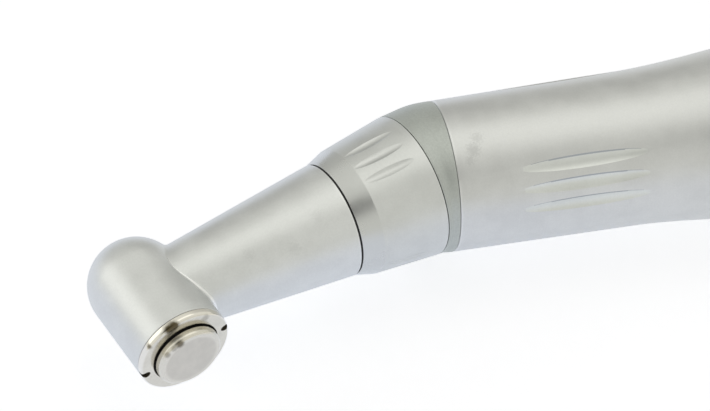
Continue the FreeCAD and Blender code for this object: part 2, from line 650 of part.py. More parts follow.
def race_pair(inner, outer, bottom, top):
    """Shielded ball bearing: the outer race carries the two shields that close it."""
    inner_r, outer_r = inner + RACE_WALL, outer - RACE_WALL
    shield_r = inner_r + RUN
    return {
        "outer_race": lathe((outer, bottom), (outer, top), (shield_r, top), (shield_r, top - SHIELD),
                            (outer_r, top - SHIELD), (outer_r, bottom + SHIELD),
                            (shield_r, bottom + SHIELD), (shield_r, bottom)),
        "inner_race": tube(inner_r, inner + SEAT, bottom, top),
    }


def chuck_spindle():
    """Hollow spindle: round bore for the shank, D-shaped seat above it and a slot for the latch."""
    body = lathe((0, SPINDLE_NOSE), (SPINDLE_R, SPINDLE_NOSE), (SPINDLE_R, GEAR_SHOULDER),
                 (SPINDLE_TOP_R, GEAR_SHOULDER), (SPINDLE_TOP_R, SPINDLE_TOP), (0, SPINDLE_TOP))
    bore = cylinder(SHANK_BORE_R, SPINDLE_NOSE, SPINDLE_TOP)
    relief = cylinder(D_RELIEF_R, D_SEAT - D_RELIEF_WIDTH, D_SEAT)
    keep = Part.makeBox(SHANK_BORE_R, 2 * SHANK_BORE_R, SPINDLE_TOP, V(D_FLAT, -SHANK_BORE_R, D_SEAT))
    slot = Part.makeBox(4 * SPINDLE_TOP_R, 2 * (LATCH_HALF_WIDTH + SLIDE), LATCH_THICK + 2 * SLIDE,
                        V(-2 * SPINDLE_TOP_R, -LATCH_HALF_WIDTH - SLIDE, LATCH_BOTTOM - SLIDE))
    return body.cut([bore.cut(keep), relief, slot])


def latch_slide():
    """Sliding latch plate: its hole's edge grips the shank's groove, its ear meets the button's cone."""
    top = LATCH_BOTTOM + LATCH_THICK
    plate = Part.makeBox(LATCH_TAIL + LATCH_REACH, 2 * LATCH_HALF_WIDTH, LATCH_THICK,
                         V(-LATCH_TAIL, -LATCH_HALF_WIDTH, LATCH_BOTTOM))
    ear = Part.makeBox(LATCH_REACH, 2 * EAR_HALF_WIDTH, EAR_TOP - LATCH_BOTTOM,
                       V(EAR_INNER, -EAR_HALF_WIDTH, LATCH_BOTTOM))
    inside_cone = lathe((0, LATCH_BOTTOM), (LATCH_REACH, LATCH_BOTTOM), (LATCH_REACH, SKIRT_BOTTOM),
                        (LATCH_REACH - RELEASE_RATIO * (EAR_TOP - SKIRT_BOTTOM), EAR_TOP), (0, EAR_TOP))
    hole = cylinder(LATCH_HOLE_R, LATCH_BOTTOM, top)
    hole.translate(V(LATCH_HOLE_R - LATCH_GRIP, 0, 0))
    return joined([plate, ear]).common(inside_cone).cut(hole)


def head_cap():
    """Screwed cap: threaded skirt, seat for the upper bearing, lip that keeps the button in."""
    seat_r = UPPER_BEARING["outer"] + SEAT
    step = UPPER_BEARING["top"] + GAP
    ring_bottom = CAP_SEAM + CAP_GAP
    edge = rounded(HEAD_R - CAP_EDGE, CAP_TOP - CAP_EDGE, CAP_EDGE, 90, 0)
    cap = lathe((CAP_LIP_R, CAP_TOP), *edge, (HEAD_R, ring_bottom), (CAP_THREAD_R, ring_bottom),
                (CAP_THREAD_R, CAP_SKIRT_BOTTOM), (seat_r, CAP_SKIRT_BOTTOM), (seat_r, step),
                (CAP_BORE_R, step), (CAP_BORE_R, CAP_LIP_BOTTOM), (CAP_LIP_R, CAP_LIP_BOTTOM))
    slot = Part.makeCylinder(SPANNER_SLOT_R, HEAD_R, V(SPANNER_SLOT_INNER, 0, CAP_TOP), V(1, 0, 0))
    return cap.cut([turned(slot, SPANNER_SLOT_DEG + side) for side in (0, 180)])


def push_button():
    """Button with a retaining flange and a skirt whose inner cone pushes the latch."""
    web = BUTTON_TOP - BUTTON_WEB
    narrow = SKIRT_BORE_R - RELEASE_RATIO * (web - SKIRT_BOTTOM)
    edge = rounded(BUTTON_R - BUTTON_EDGE, BUTTON_TOP - BUTTON_EDGE, BUTTON_EDGE, 90, 0)
    return lathe((0, BUTTON_TOP), *edge, (BUTTON_R, BUTTON_RIM), (BUTTON_NECK_R, BUTTON_RIM),
                 (BUTTON_NECK_R, FLANGE_TOP), (FLANGE_R, FLANGE_TOP), (FLANGE_R, FLANGE_BOTTOM),
                 (SKIRT_R, FLANGE_BOTTOM), (SKIRT_R, SKIRT_BOTTOM), (SKIRT_BORE_R, SKIRT_BOTTOM),
                 (narrow, web), (0, web))


def head_parts():
    """Everything on the bur axis."""
    gear = bevel_gear(HEAD_CONE, SPINDLE_R + SEAT, HEAD_GEAR_BACK, first_tooth=0.5, **HEAD_GEAR)
    parts = {
        "chuck_spindle": chuck_spindle(),
        "chuck_gear": put(gear, FACING_BACK),
        "latch_slide": latch_slide(),
        "head_cap": head_cap(),
        "push_button": push_button(),
        "button_spring": wave_spring(SKIRT_R + GAP, CAP_BORE_R - GAP, UPPER_BEARING["top"] + 2 * GAP,
                                     FLANGE_BOTTOM - GAP / 2),
        "nose_seal": tube(NOSE_SEAL_R, SPINDLE_R + RUN, LOWER_BEARING["bottom"] - NOSE_SEAL_WIDTH + SEAT,
                          LOWER_BEARING["bottom"] - SEAT),
    }
    for place, bearing in (("lower", LOWER_BEARING), ("upper", UPPER_BEARING)):
        for piece, shape in race_pair(**bearing).items():
            parts[f"{place}_{piece}"] = shape
    return {name: put(shape, HEAD) for name, shape in parts.items()}


NECK_GEAR_BACK = ELBOW_GEAR_DEPTH
PINION_BACK = NECK_LENGTH - HEAD_GEAR_DEPTH
REAR_NECK_BUSH = NECK_SPIGOT_REAR + NECK_NUT_LENGTH + SEAT
FRONT_NECK_BUSH = PINION_BACK - GAP - NECK_BUSH_LENGTH


def neck_parts():
    """Everything on the neck's axis, apart from the housing."""
    rear_gear = bevel_gear(ELBOW_CONE, NECK_SHAFT_R + SEAT, ELBOW_GEAR_BACK, first_tooth=0.5, **ELBOW_GEAR)
    pinion = bevel_gear(HEAD_CONE, NECK_SHAFT_R + SEAT, HEAD_GEAR_BACK, first_tooth=0, **HEAD_GEAR)
    pinion.translate(V(0, 0, NECK_LENGTH))
    shaft = cylinder(NECK_SHAFT_R, NECK_GEAR_BACK - ELBOW_GEAR_BACK, PINION_BACK + HEAD_GEAR_BACK)
    rear_bush_end = REAR_NECK_BUSH + NECK_BUSH_LENGTH
    seat_r = NECK_BORE_R - SEAT
    parts = {
        "neck_shaft": shaft,
        "neck_rear_gear": put(rear_gear, FACING_BACK),
        "neck_pinion": pinion,
        "neck_nut": tube(seat_r, NECK_NUT_BORE_R, NECK_SPIGOT_REAR, NECK_SPIGOT_REAR + NECK_NUT_LENGTH),
        "neck_rear_bush": tube(seat_r, NECK_SHAFT_R + RUN, REAR_NECK_BUSH, rear_bush_end),
        "neck_spacer": tube(seat_r, SPACER_BORE_R, rear_bush_end + SEAT, FRONT_NECK_BUSH - SEAT),
        "neck_front_bush": tube(seat_r, NECK_SHAFT_R + RUN, FRONT_NECK_BUSH, PINION_BACK - GAP),
        "neck_seal": neck_seal(),
    }
    placed = {name: put(shape, NECK) for name, shape in parts.items()}
    placed["head_housing"] = head_housing()
    return placed


def neck_seal():
    """Black sealing ring seen as a thin line between lock ring and neck."""
    front = NECK_FRONT_FACE - SEAT
    rear = RING_FRONT + SEAT
    return tube(NECK_REAR_R - SEAM_EDGE, NECK_LAND_R + SEAT, rear, front)


def main():
    os.makedirs("parts", exist_ok=True)
    nodes = {}
    for group in (handle_parts, elbow_parts, neck_parts, head_parts):
        nodes.update(group())
    for name, shape in nodes.items():
        shape.exportStep(f"parts/{name}.step")


main()
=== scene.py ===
"""Looks of a contra angle dental handpiece, dressed over its packed assembly.

Places and sizes are in millimetres where nothing else is said, in the assembly's own frame: the
origin is the middle of the rear mouth, +X points back out of it, the neck bends towards -Y (the
button side) and +Z is square to the plane of the bend. Three turning axes carry the pieces: the
handle's, the neck's and the bur's.
"""

import json
import logging
import math
from dataclasses import dataclass, field
from enum import Enum
from typing import Callable, ClassVar, Iterable, Mapping, Sequence, Union

import bmesh
import bpy
from mathutils import Matrix, Vector

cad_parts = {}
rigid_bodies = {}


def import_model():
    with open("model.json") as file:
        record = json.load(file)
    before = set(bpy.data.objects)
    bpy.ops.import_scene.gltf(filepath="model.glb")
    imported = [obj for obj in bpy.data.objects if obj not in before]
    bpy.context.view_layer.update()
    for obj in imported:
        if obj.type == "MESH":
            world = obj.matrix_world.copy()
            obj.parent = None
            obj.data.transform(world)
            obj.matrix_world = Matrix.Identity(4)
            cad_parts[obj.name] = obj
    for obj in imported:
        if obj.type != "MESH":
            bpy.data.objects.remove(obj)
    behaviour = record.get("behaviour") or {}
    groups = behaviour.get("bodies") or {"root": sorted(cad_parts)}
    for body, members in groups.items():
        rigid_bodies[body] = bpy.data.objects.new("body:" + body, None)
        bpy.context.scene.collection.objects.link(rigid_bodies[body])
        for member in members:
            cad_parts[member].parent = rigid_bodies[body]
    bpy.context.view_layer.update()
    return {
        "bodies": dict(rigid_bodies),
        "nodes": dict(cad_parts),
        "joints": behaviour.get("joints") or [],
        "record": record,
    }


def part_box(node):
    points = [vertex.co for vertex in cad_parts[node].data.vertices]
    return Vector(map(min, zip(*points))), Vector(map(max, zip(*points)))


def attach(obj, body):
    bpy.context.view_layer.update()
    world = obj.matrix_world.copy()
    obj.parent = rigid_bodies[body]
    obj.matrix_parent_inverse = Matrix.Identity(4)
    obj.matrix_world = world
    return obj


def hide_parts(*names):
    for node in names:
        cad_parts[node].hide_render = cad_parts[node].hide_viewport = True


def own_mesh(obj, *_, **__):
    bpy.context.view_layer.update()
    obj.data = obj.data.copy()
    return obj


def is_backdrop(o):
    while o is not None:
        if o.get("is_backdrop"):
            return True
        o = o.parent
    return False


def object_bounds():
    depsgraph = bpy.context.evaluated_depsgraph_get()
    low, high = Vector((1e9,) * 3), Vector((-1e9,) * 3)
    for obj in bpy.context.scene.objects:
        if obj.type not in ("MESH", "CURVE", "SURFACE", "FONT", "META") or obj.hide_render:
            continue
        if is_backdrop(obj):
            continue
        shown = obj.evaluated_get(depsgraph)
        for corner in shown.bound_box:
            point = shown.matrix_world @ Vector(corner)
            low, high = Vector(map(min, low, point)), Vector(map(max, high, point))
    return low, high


LOG = logging.getLogger("handpiece")
MM = 0.001          # metres to the millimetre
ROUND_STEPS = 10    # steps of a quarter of a rounded corner
SHARP_DEG = 11.0    # corners over this angle stay sharp
WELD = 2e-7         # points nearer than this become one, in metres
ON_AXIS = 1e-6      # radius under which a point lies on the axis
USABLE = 0.499      # share of a side that the rounding of one corner may take
FINE = 240          # columns round the pieces that are seen close up
MEDIUM = 144        # columns round other outer pieces
COARSE = 96         # columns round pieces inside and round tools
SMALL = 32          # columns round pin holes
OVER = 1.0          # how far a cutting tool stands out of its piece
ACROSS = (-4, 4)    # width of a tool that cuts right across the small turned pieces
CRISP = 0.05        # rounding of an edge that stays crisp
BROKEN = 0.1        # rounding of an edge that is broken
WORN_IN = 0.1       # how far inside a seam the edge polished by handling lies
WORN_WIDE = 0.14    # how far such a polish reaches

Point = tuple[float, float]
Span = tuple[float, float]
Triple = tuple[float, float, float]
Four = tuple[float, float, float, float]
Piece = bpy.types.Object
Rgb = tuple[float, float, float]
WHITE: Rgb = (1.0, 1.0, 1.0)
BLACK: Rgb = (0.0, 0.0, 0.0)


def even_turns(count: int) -> list[float]:
    """Turns spread evenly round an axis, in radians."""
    return [2 * math.pi * i / count for i in range(count)]


def shaded(color: Rgb, factor: float) -> Rgb:
    """A colour made darker, or lighter up to white."""
    red, green, blue = (min(1.0, factor * c) for c in color)
    return red, green, blue


# ---- turning axes and overall layout
@dataclass(frozen=True)
class Axis:
    """A turning axis, with the side that turns are counted from.

    Attributes:
        origin: A point on the axis.
        along: Unit vector along the axis.
        side: Unit vector square to the axis, where turns start.
    """

    origin: Vector
    along: Vector
    side: Vector

    @property
    def across(self) -> Vector:
        """Unit vector a quarter turn on from the side."""
        return self.along.cross(self.side)

    def point(self, x: float, y: float, z: float) -> Vector:
        """Point at x towards the side, y across and z along."""
        return self.origin + self.side * x + self.across * y + self.along * z

    def polar(self, radius: float, turn: float, z: float) -> Vector:
        """Point at a radius and a turn in radians, z along the axis."""
        return self.point(radius * math.cos(turn), radius * math.sin(turn), z)

    def local(self, point: Vector) -> Vector:
        """A point's x, y and z on this axis."""
        offset = point - self.origin
        return Vector((offset.dot(self.side), offset.dot(self.across), offset.dot(self.along)))


@dataclass(frozen=True)
class Layout:
    """Where the three axes and the joints between the pieces lie.

    Attributes:
        bend_deg: Angle between the handle's and the neck's axes.
        handle_length: Height of the handle's front on its axis.
        elbow_ahead: How far ahead of that the neck's axis starts.
        neck_length: Height of the bur's axis on the neck's axis.
        ring_rear, ring_edge, ring_front: Heights of the lock ring's rear, crisp edge and front
            on the neck's axis.
        neck_face: Height of the neck's rear face.
        bore_shade: Depths in the motor's bore between which the metal is painted darker as shade.
        gap, seat: Width of the seams between the pieces, and clearance of a piece in its seat.
    """

    bend_deg: float = 18.5
    handle_length: float = 60.0
    elbow_ahead: float = 1.74
    neck_length: float = 32.3
    ring_rear: float = 1.92
    ring_edge: float = 9.0
    ring_front: float = 11.1
    neck_face: float = 11.285
    bore_shade: Span = (3.0, 24.0)
    gap: float = 0.05
    seat: float = 0.01

    @property
    def handle(self) -> Axis:
        """Axis forward along the handle."""
        return Axis(Vector((0, 0, 0)), Vector((-1, 0, 0)), Vector((0, -1, 0)))

    @property
    def neck(self) -> Axis:
        """Finds the neck's axis.

        Returns:
            The axis forward along the neck, from the point where it meets the handle's.
        """
        bend = math.radians(self.bend_deg)
        elbow = Vector((-self.handle_length - self.elbow_ahead, 0, 0))
        return Axis(elbow, Vector((-math.cos(bend), -math.sin(bend), 0)),
                    Vector((math.sin(bend), -math.cos(bend), 0)))

    @property
    def head(self) -> Axis:
        """Axis of the bur, towards the button, with its turns counted from the handle's side."""
        neck = self.neck
        return Axis(neck.point(0, 0, self.neck_length), neck.side.copy(), -neck.along)


LAYOUT = Layout()


# ---- outlines of turned pieces
def outline(*corners: tuple[float, ...], closed: bool = True) -> list[Point]:
    """Outline of a turned piece, with its corners rounded.

    Args:
        corners: Radius and height of each corner, and the radius of its rounding if it has one.
        closed: Whether the last corner joins the first.

    Returns:
        The outline as radius and height, rounded corners as short steps.
    """
    points: list[Point] = []
    count = len(corners)
    for i, corner in enumerate(corners):
        here = Vector(corner[:2])
        rounding = corner[2] if len(corner) > 2 else 0.0
        if not rounding or (not closed and i in (0, count - 1)):
            points.append((here.x, here.y))
            continue
        before = Vector(corners[i - 1][:2]) - here
        after = Vector(corners[(i + 1) % count][:2]) - here
        u, v = before.normalized(), after.normalized()
        half = u.angle(v) / 2
        reach = min(rounding / math.tan(half), USABLE * before.length, USABLE * after.length)
        radius = reach * math.tan(half)
        centre = here + (u + v).normalized() * (radius / math.sin(half))
        start, end = here + u * reach - centre, here + v * reach - centre
        sweep = start.angle_signed(end)
        steps = max(2, round(ROUND_STEPS * abs(sweep) / (math.pi / 2)))
        for k in range(steps + 1):
            turn = sweep * k / steps
            c, s = math.cos(turn), math.sin(turn)
            points.append((centre.x + start.x * c + start.y * s,
                           centre.y - start.x * s + start.y * c))
    return points


def with_rows(points: Sequence[Point], first: int, levels: Iterable[float]) -> list[Point]:
    """An outline with more rows on one straight run.

    Args:
        points: The outline.
        first: Index of the run's first point.
        levels: Heights of the new rows, in the run's own order.

    Returns:
        The outline with the rows put in.
    """
    (r0, z0), (r1, z1) = points[first], points[first + 1]
    rows = [(r0 + (r1 - r0) * (z - z0) / (z1 - z0), z) for z in levels]
    return [*points[:first + 1], *rows, *points[first + 1:]]


# ---- columns round a turned piece
@dataclass(frozen=True)
class Columns:
    """Even columns round an axis.

    Attributes:
        count: How many there are.
    """

    count: int = 192

    def at(self, radius: float, z: float) -> list[Point]:
        """Turn and hollow of each column at a point of the outline."""
        return [(turn, 0.0) for turn in even_turns(self.count)]

    def finish(self, i: int, z: float) -> int:
        """Which of the piece's finishes the face after column i takes at a height."""
        return 0


@dataclass(frozen=True)
class Grip(Columns):
    """Columns that close up round groups of lens-shaped grip flutes.

    Attributes:
        length, width, depth: Size of a flute, as it is at its middle on a flat surface.
        middle, radius: Height of the flutes' middle, and radius of the surface there.
        first_deg, spacing_deg: Turn of the middle of the first group, and from flute to flute.
        lean: Where across a flute its deepest line lies, from -1 to 1.
        groups, flutes: How many groups there are, and the flutes in a group.
        inner, outer: Columns across a flute, and from it to the middle of the land beside it.
        land: Columns between two groups.
        least: Half the width that the columns keep where there is no flute.
        finish_to: Distance from the middle, in lengths, up to which a flute is painted with
            highlight and shade.
        edge_to: The same for the painted shade along a crisp upper edge of two columns, and of one.
        near: Depths from the surface within which a row of the outline is cut by the flutes.
    """

    length: float = 1.0
    width: float = 1.0
    depth: float = 0.1
    middle: float = 0.0
    radius: float = 1.0
    first_deg: float = 0.0
    lean: float = 0.0
    spacing_deg: float = 16.0
    groups: int = 3
    flutes: int = 3
    inner: int = 16
    outer: int = 3
    land: int = 36
    least: float = 0.02
    finish_to: ClassVar[float] = 0.48
    edge_to: ClassVar[Span] = (0.3, 0.42)
    near: ClassVar[float] = 4.0

    def levels(self, rows: int = 16) -> list[float]:
        """Heights of the rows that shape a flute, close together at its tips."""
        return [self.middle + self.length / 2 * math.sin(math.pi * k / (2 * rows))
                for k in range(-rows, rows + 1)]

    def hollow(self, z: float) -> tuple[float, float]:
        """Depth on a flute's centre line and half its width at a height."""
        depth = self.depth * max(0.0, 1 - (2 * (z - self.middle) / self.length) ** 2)
        return depth, math.sqrt(2 * depth / self.curve)

    def finish(self, i: int, z: float) -> int:
        """Tells the flutes of the first group apart.

        Args:
            i: The column.
            z: The height.

        Returns:
            One on a flute's crisp upper edge, which is painted in shade, two on the rest of it,
            which is painted lighter as a highlight, and else nothing.
        """
        off = abs(z - self.middle) / self.length
        each = 2 * self.outer + self.inner
        if i >= each * self.flutes or off > self.finish_to:
            return 0
        step = i % each - self.outer
        edge = sum(off < limit for limit in self.edge_to)
        if self.inner - edge <= step < self.inner:
            return 1
        return 2 if 0 <= step < self.inner - edge else 0

    @property
    def curve(self) -> float:
        """Curvature of the flute's section against the surface that it is ground in."""
        return 8 * self.depth / self.width ** 2 + 1 / self.radius

    def at(self, radius: float, z: float) -> list[Point]:
        """Narrows the columns to the flutes where the outline crosses them.

        Args:
            radius: Radius of a point of the outline.
            z: Its height.

        Returns:
            Turn and hollow of each column there.
        """
        on_surface = abs(radius - self.radius) < self.near * self.depth
        depth, half_width = self.hollow(z) if on_surface else (0.0, 0.0)
        half_width = max(half_width, self.least)
        half_turn = math.radians(self.spacing_deg) / 2
        columns: list[Point] = []
        for group in range(self.groups):
            for flute in range(self.flutes):
                centre = math.radians(self.first_deg + 360 / self.groups * group
                                      + self.spacing_deg * (flute - (self.flutes - 1) / 2))
                narrow = half_width / self.radius
                step = (half_turn - narrow) / self.outer
                columns += [(centre - half_turn + step * k, 0.0) for k in range(self.outer)]
                for k in range(self.inner + 1):
                    side = 2 * k / self.inner - 1
                    y = half_width * (self.lean + side * (1 + math.copysign(self.lean, -side)))
                    columns.append((centre + y / self.radius, depth * (1 - side * side)))
                columns += [(centre + narrow + step * k, 0.0) for k in range(1, self.outer)]
            start = math.radians(self.first_deg + 360 / self.groups * group
                                 + self.spacing_deg * self.flutes / 2)
            sweep = math.radians(360 / self.groups - self.spacing_deg * self.flutes)
            columns += [(start + sweep * k / self.land, 0.0) for k in range(self.land)]
        return columns


# ---- skins and solids
class Skin:
    """Points and faces of one piece, gathered before they become a mesh."""

    def __init__(self) -> None:
        """Starts empty."""
        self.points: list[Vector] = []
        self.faces: list[tuple[int, ...]] = []
        self.finishes: dict[int, int] = {}

    def row(self, points: Iterable[Vector]) -> list[int]:
        """Adds a row.

        Args:
            points: Its points.

        Returns:
            Their indices.
        """
        start = len(self.points)
        self.points.extend(points)
        return list(range(start, len(self.points)))

    def bands(self, rows: Sequence[Sequence[int]], closed: bool = False,
              skip: Callable[[int, int], bool] = lambda k, i: False,
              finish: Callable[[int, int], int] = lambda k, i: 0) -> None:
        """Adds the faces between rows that run round the piece.

        Args:
            rows: The rows in order, each of many points or of a single one.
            closed: Whether the last row joins the first.
            skip: Says which faces are left out, by row and column.
            finish: Says which of the piece's finishes a face takes, by row and column.
        """
        for k, lower in enumerate(rows if closed else rows[:-1]):
            upper = rows[(k + 1) % len(rows)]
            count = max(len(lower), len(upper))
            for i in range(count):
                if skip(k, i):
                    continue
                if finish(k, i):
                    self.finishes[len(self.faces)] = finish(k, i)
                j = (i + 1) % count
                if len(lower) == 1:
                    self.faces.append((lower[0], upper[i], upper[j]))
                elif len(upper) == 1:
                    self.faces.append((lower[i], lower[j], upper[0]))
                else:
                    self.faces.append((lower[i], lower[j], upper[j], upper[i]))

    def run(self, rows: Sequence[Sequence[int]]) -> None:
        """Adds the faces of a run of rows, with a flat face at each end."""
        self.bands(rows)
        self.faces += [tuple(reversed(rows[0])), tuple(rows[-1])]

    def solid(self, name: str, weld: bool = False) -> Piece:
        """Makes the piece's object.

        Args:
            name: The piece's name.
            weld: Whether points at the same place become one.

        Returns:
            The new object, in metres, with its faces turned outwards.
        """
        mesh = bpy.data.meshes.new(name)
        mesh.from_pydata([tuple(p * MM) for p in self.points], [], self.faces)
        work = bmesh.new()
        work.from_mesh(mesh)
        if weld:
            bmesh.ops.remove_doubles(work, verts=work.verts, dist=WELD)
        bmesh.ops.recalc_face_normals(work, faces=work.faces)
        work.to_mesh(mesh)
        work.free()
        for _ in range(max(self.finishes.values(), default=-1) + 1):
            mesh.materials.append(None)
        for i, finish in self.finishes.items():
            mesh.polygons[i].material_index = finish
        piece = bpy.data.objects.new(name, mesh)
        bpy.context.scene.collection.objects.link(piece)
        smooth(piece)
        return piece


def smooth(piece: Piece) -> None:
    """Shades a piece smooth, apart from its real corners."""
    piece.data.shade_smooth()
    piece.data.set_sharp_from_angle(angle=math.radians(SHARP_DEG))


def turned(name: str, axis: Axis, points: Sequence[Point], columns: Columns = Columns(),
           closed: bool = True) -> Piece:
    """A piece turned on a lathe.

    Args:
        name: The piece's name.
        axis: Its turning axis.
        points: Its outline as radius and height.
        columns: The columns round it.
        closed: Whether the outline joins up, as it does round a bore. If not, it ends on the axis.

    Returns:
        The piece's object.
    """
    skin = Skin()
    rows = [skin.row([axis.point(0, 0, z)] if radius < ON_AXIS else
                     [axis.polar(radius - drop, turn, z) for turn, drop in columns.at(radius, z)])
            for radius, z in points]
    skin.bands(rows, closed, finish=lambda k, i: columns.finish(i, points[k][1]))
    return skin.solid(name)


def rod(name: str, axis: Axis, radius: float, z0: float, z1: float,
        count: int = COARSE) -> Piece:
    """A plain round bar between two heights, mostly used to cut with."""
    outside = [(0, z0), (radius, z0), (radius, z1), (0, z1)]
    return turned(name, axis, outside, Columns(count), closed=False)


def prism(name: str, axis: Axis, section: Sequence[Point], z0: float, z1: float) -> Piece:
    """A bar of any section between two heights.

    Args:
        name: The bar's name.
        axis: The axis that it runs along.
        section: Its section as x and y on that axis.
        z0: One end.
        z1: The other end.

    Returns:
        The bar's object.
    """
    skin = Skin()
    skin.run([skin.row(axis.point(x, y, z) for x, y in section) for z in (z0, z1)])
    return skin.solid(name)


def slab(x: Point, y: Point) -> list[Point]:
    """Section of a rectangular bar from its two x and its two y limits."""
    (left, right), (near, far) = x, y
    return [(left, near), (right, near), (right, far), (left, far)]


def pie(radius: float, middle_deg: float, half_deg: float, steps: int = 24) -> list[Point]:
    """Section of a pie slice about the axis.

    Args:
        radius: Its radius.
        middle_deg: Turn of its middle.
        half_deg: Half its width.
        steps: Steps along its arc.

    Returns:
        The section.
    """
    turns = [math.radians(middle_deg - half_deg + 2 * half_deg * i / steps)
             for i in range(steps + 1)]
    return [(0.0, 0.0)] + [(radius * math.cos(t), radius * math.sin(t)) for t in turns]


def carried(name: str, axis: Axis, section: Sequence[Point],
            way: Iterable[tuple[float, float, float]], closed: bool) -> Piece:
    """A section carried round an axis.

    Args:
        name: The piece's name.
        axis: The axis.
        section: The section as steps outwards and along the axis.
        way: Turn, radius and height of each place on the way.
        closed: Whether the way closes to a ring.

    Returns:
        The piece's object.
    """
    skin = Skin()
    rows = [skin.row(axis.polar(radius + x, turn, z + y) for x, y in section)
            for turn, radius, z in way]
    if closed:
        skin.bands(rows, closed=True)
    else:
        skin.run(rows)
    return skin.solid(name)


class Cut(Enum):
    """How a tool changes the piece that it meets."""

    AWAY = "DIFFERENCE"
    JOIN = "UNION"


def worked(piece: Piece, *tools: tuple[Cut, Piece]) -> Piece:
    """Cuts or joins other solids to a piece, one after another.

    Args:
        piece: The piece to work on.
        tools: Each solid with what it does. They are used up.

    Returns:
        The same piece with its new mesh.
    """
    for kind, tool in tools:
        modifier = piece.modifiers.new("tool", "BOOLEAN")
        modifier.operation = kind.value
        modifier.solver = "EXACT"
        modifier.object = tool
    graph = bpy.context.evaluated_depsgraph_get()
    mesh = bpy.data.meshes.new_from_object(piece.evaluated_get(graph))
    old = piece.data
    piece.modifiers.clear()
    piece.data = mesh
    bpy.data.meshes.remove(old)
    mesh.name = piece.name
    for _, tool in tools:
        spare = tool.data
        bpy.data.objects.remove(tool)
        bpy.data.meshes.remove(spare)
    smooth(piece)
    return piece


# ---- material graphs
Value = Union["Wire", float, int]


def operator(kind: str, swapped: bool = False) -> Callable[["Wire", Value], "Wire"]:
    """An operator of wires.

    Args:
        kind: The kind of Math node that it adds.
        swapped: Whether the wire stands behind the other value.

    Returns:
        The operator's method.
    """
    def operate(self: "Wire", other: Value) -> "Wire":
        """Adds the node over this and another value."""
        return self.graph.math(kind, *((other, self) if swapped else (self, other)))

    return operate


class Wire:
    """A socket of a material, with arithmetic that adds Math nodes."""

    def __init__(self, graph: "Graph", socket: bpy.types.NodeSocket) -> None:
        """Wraps a socket of a graph."""
        self.graph = graph
        self.socket = socket

    __add__ = __radd__ = operator("ADD")
    __mul__ = __rmul__ = operator("MULTIPLY")
    __sub__, __rsub__ = operator("SUBTRACT"), operator("SUBTRACT", swapped=True)
    __truediv__, __rtruediv__ = operator("DIVIDE"), operator("DIVIDE", swapped=True)
    __pow__ = operator("POWER")

    def __abs__(self) -> "Wire":
        """Size without its sign."""
        return self.graph.math("ABSOLUTE", self)

    def sway(self, by: float) -> "Wire":
        """Turns a value from 0 to 1 into a swing of so much round nothing."""
        return (self - 0.5) * by

    def within(self, low: float, high: float) -> "Wire":
        """How far this lies between two limits, held to 0 and 1 and eased at both."""
        return self.graph.wire("ShaderNodeMapRange", {"interpolation_type": "SMOOTHSTEP"},
                               {"Value": self, "From Min": low, "From Max": high})


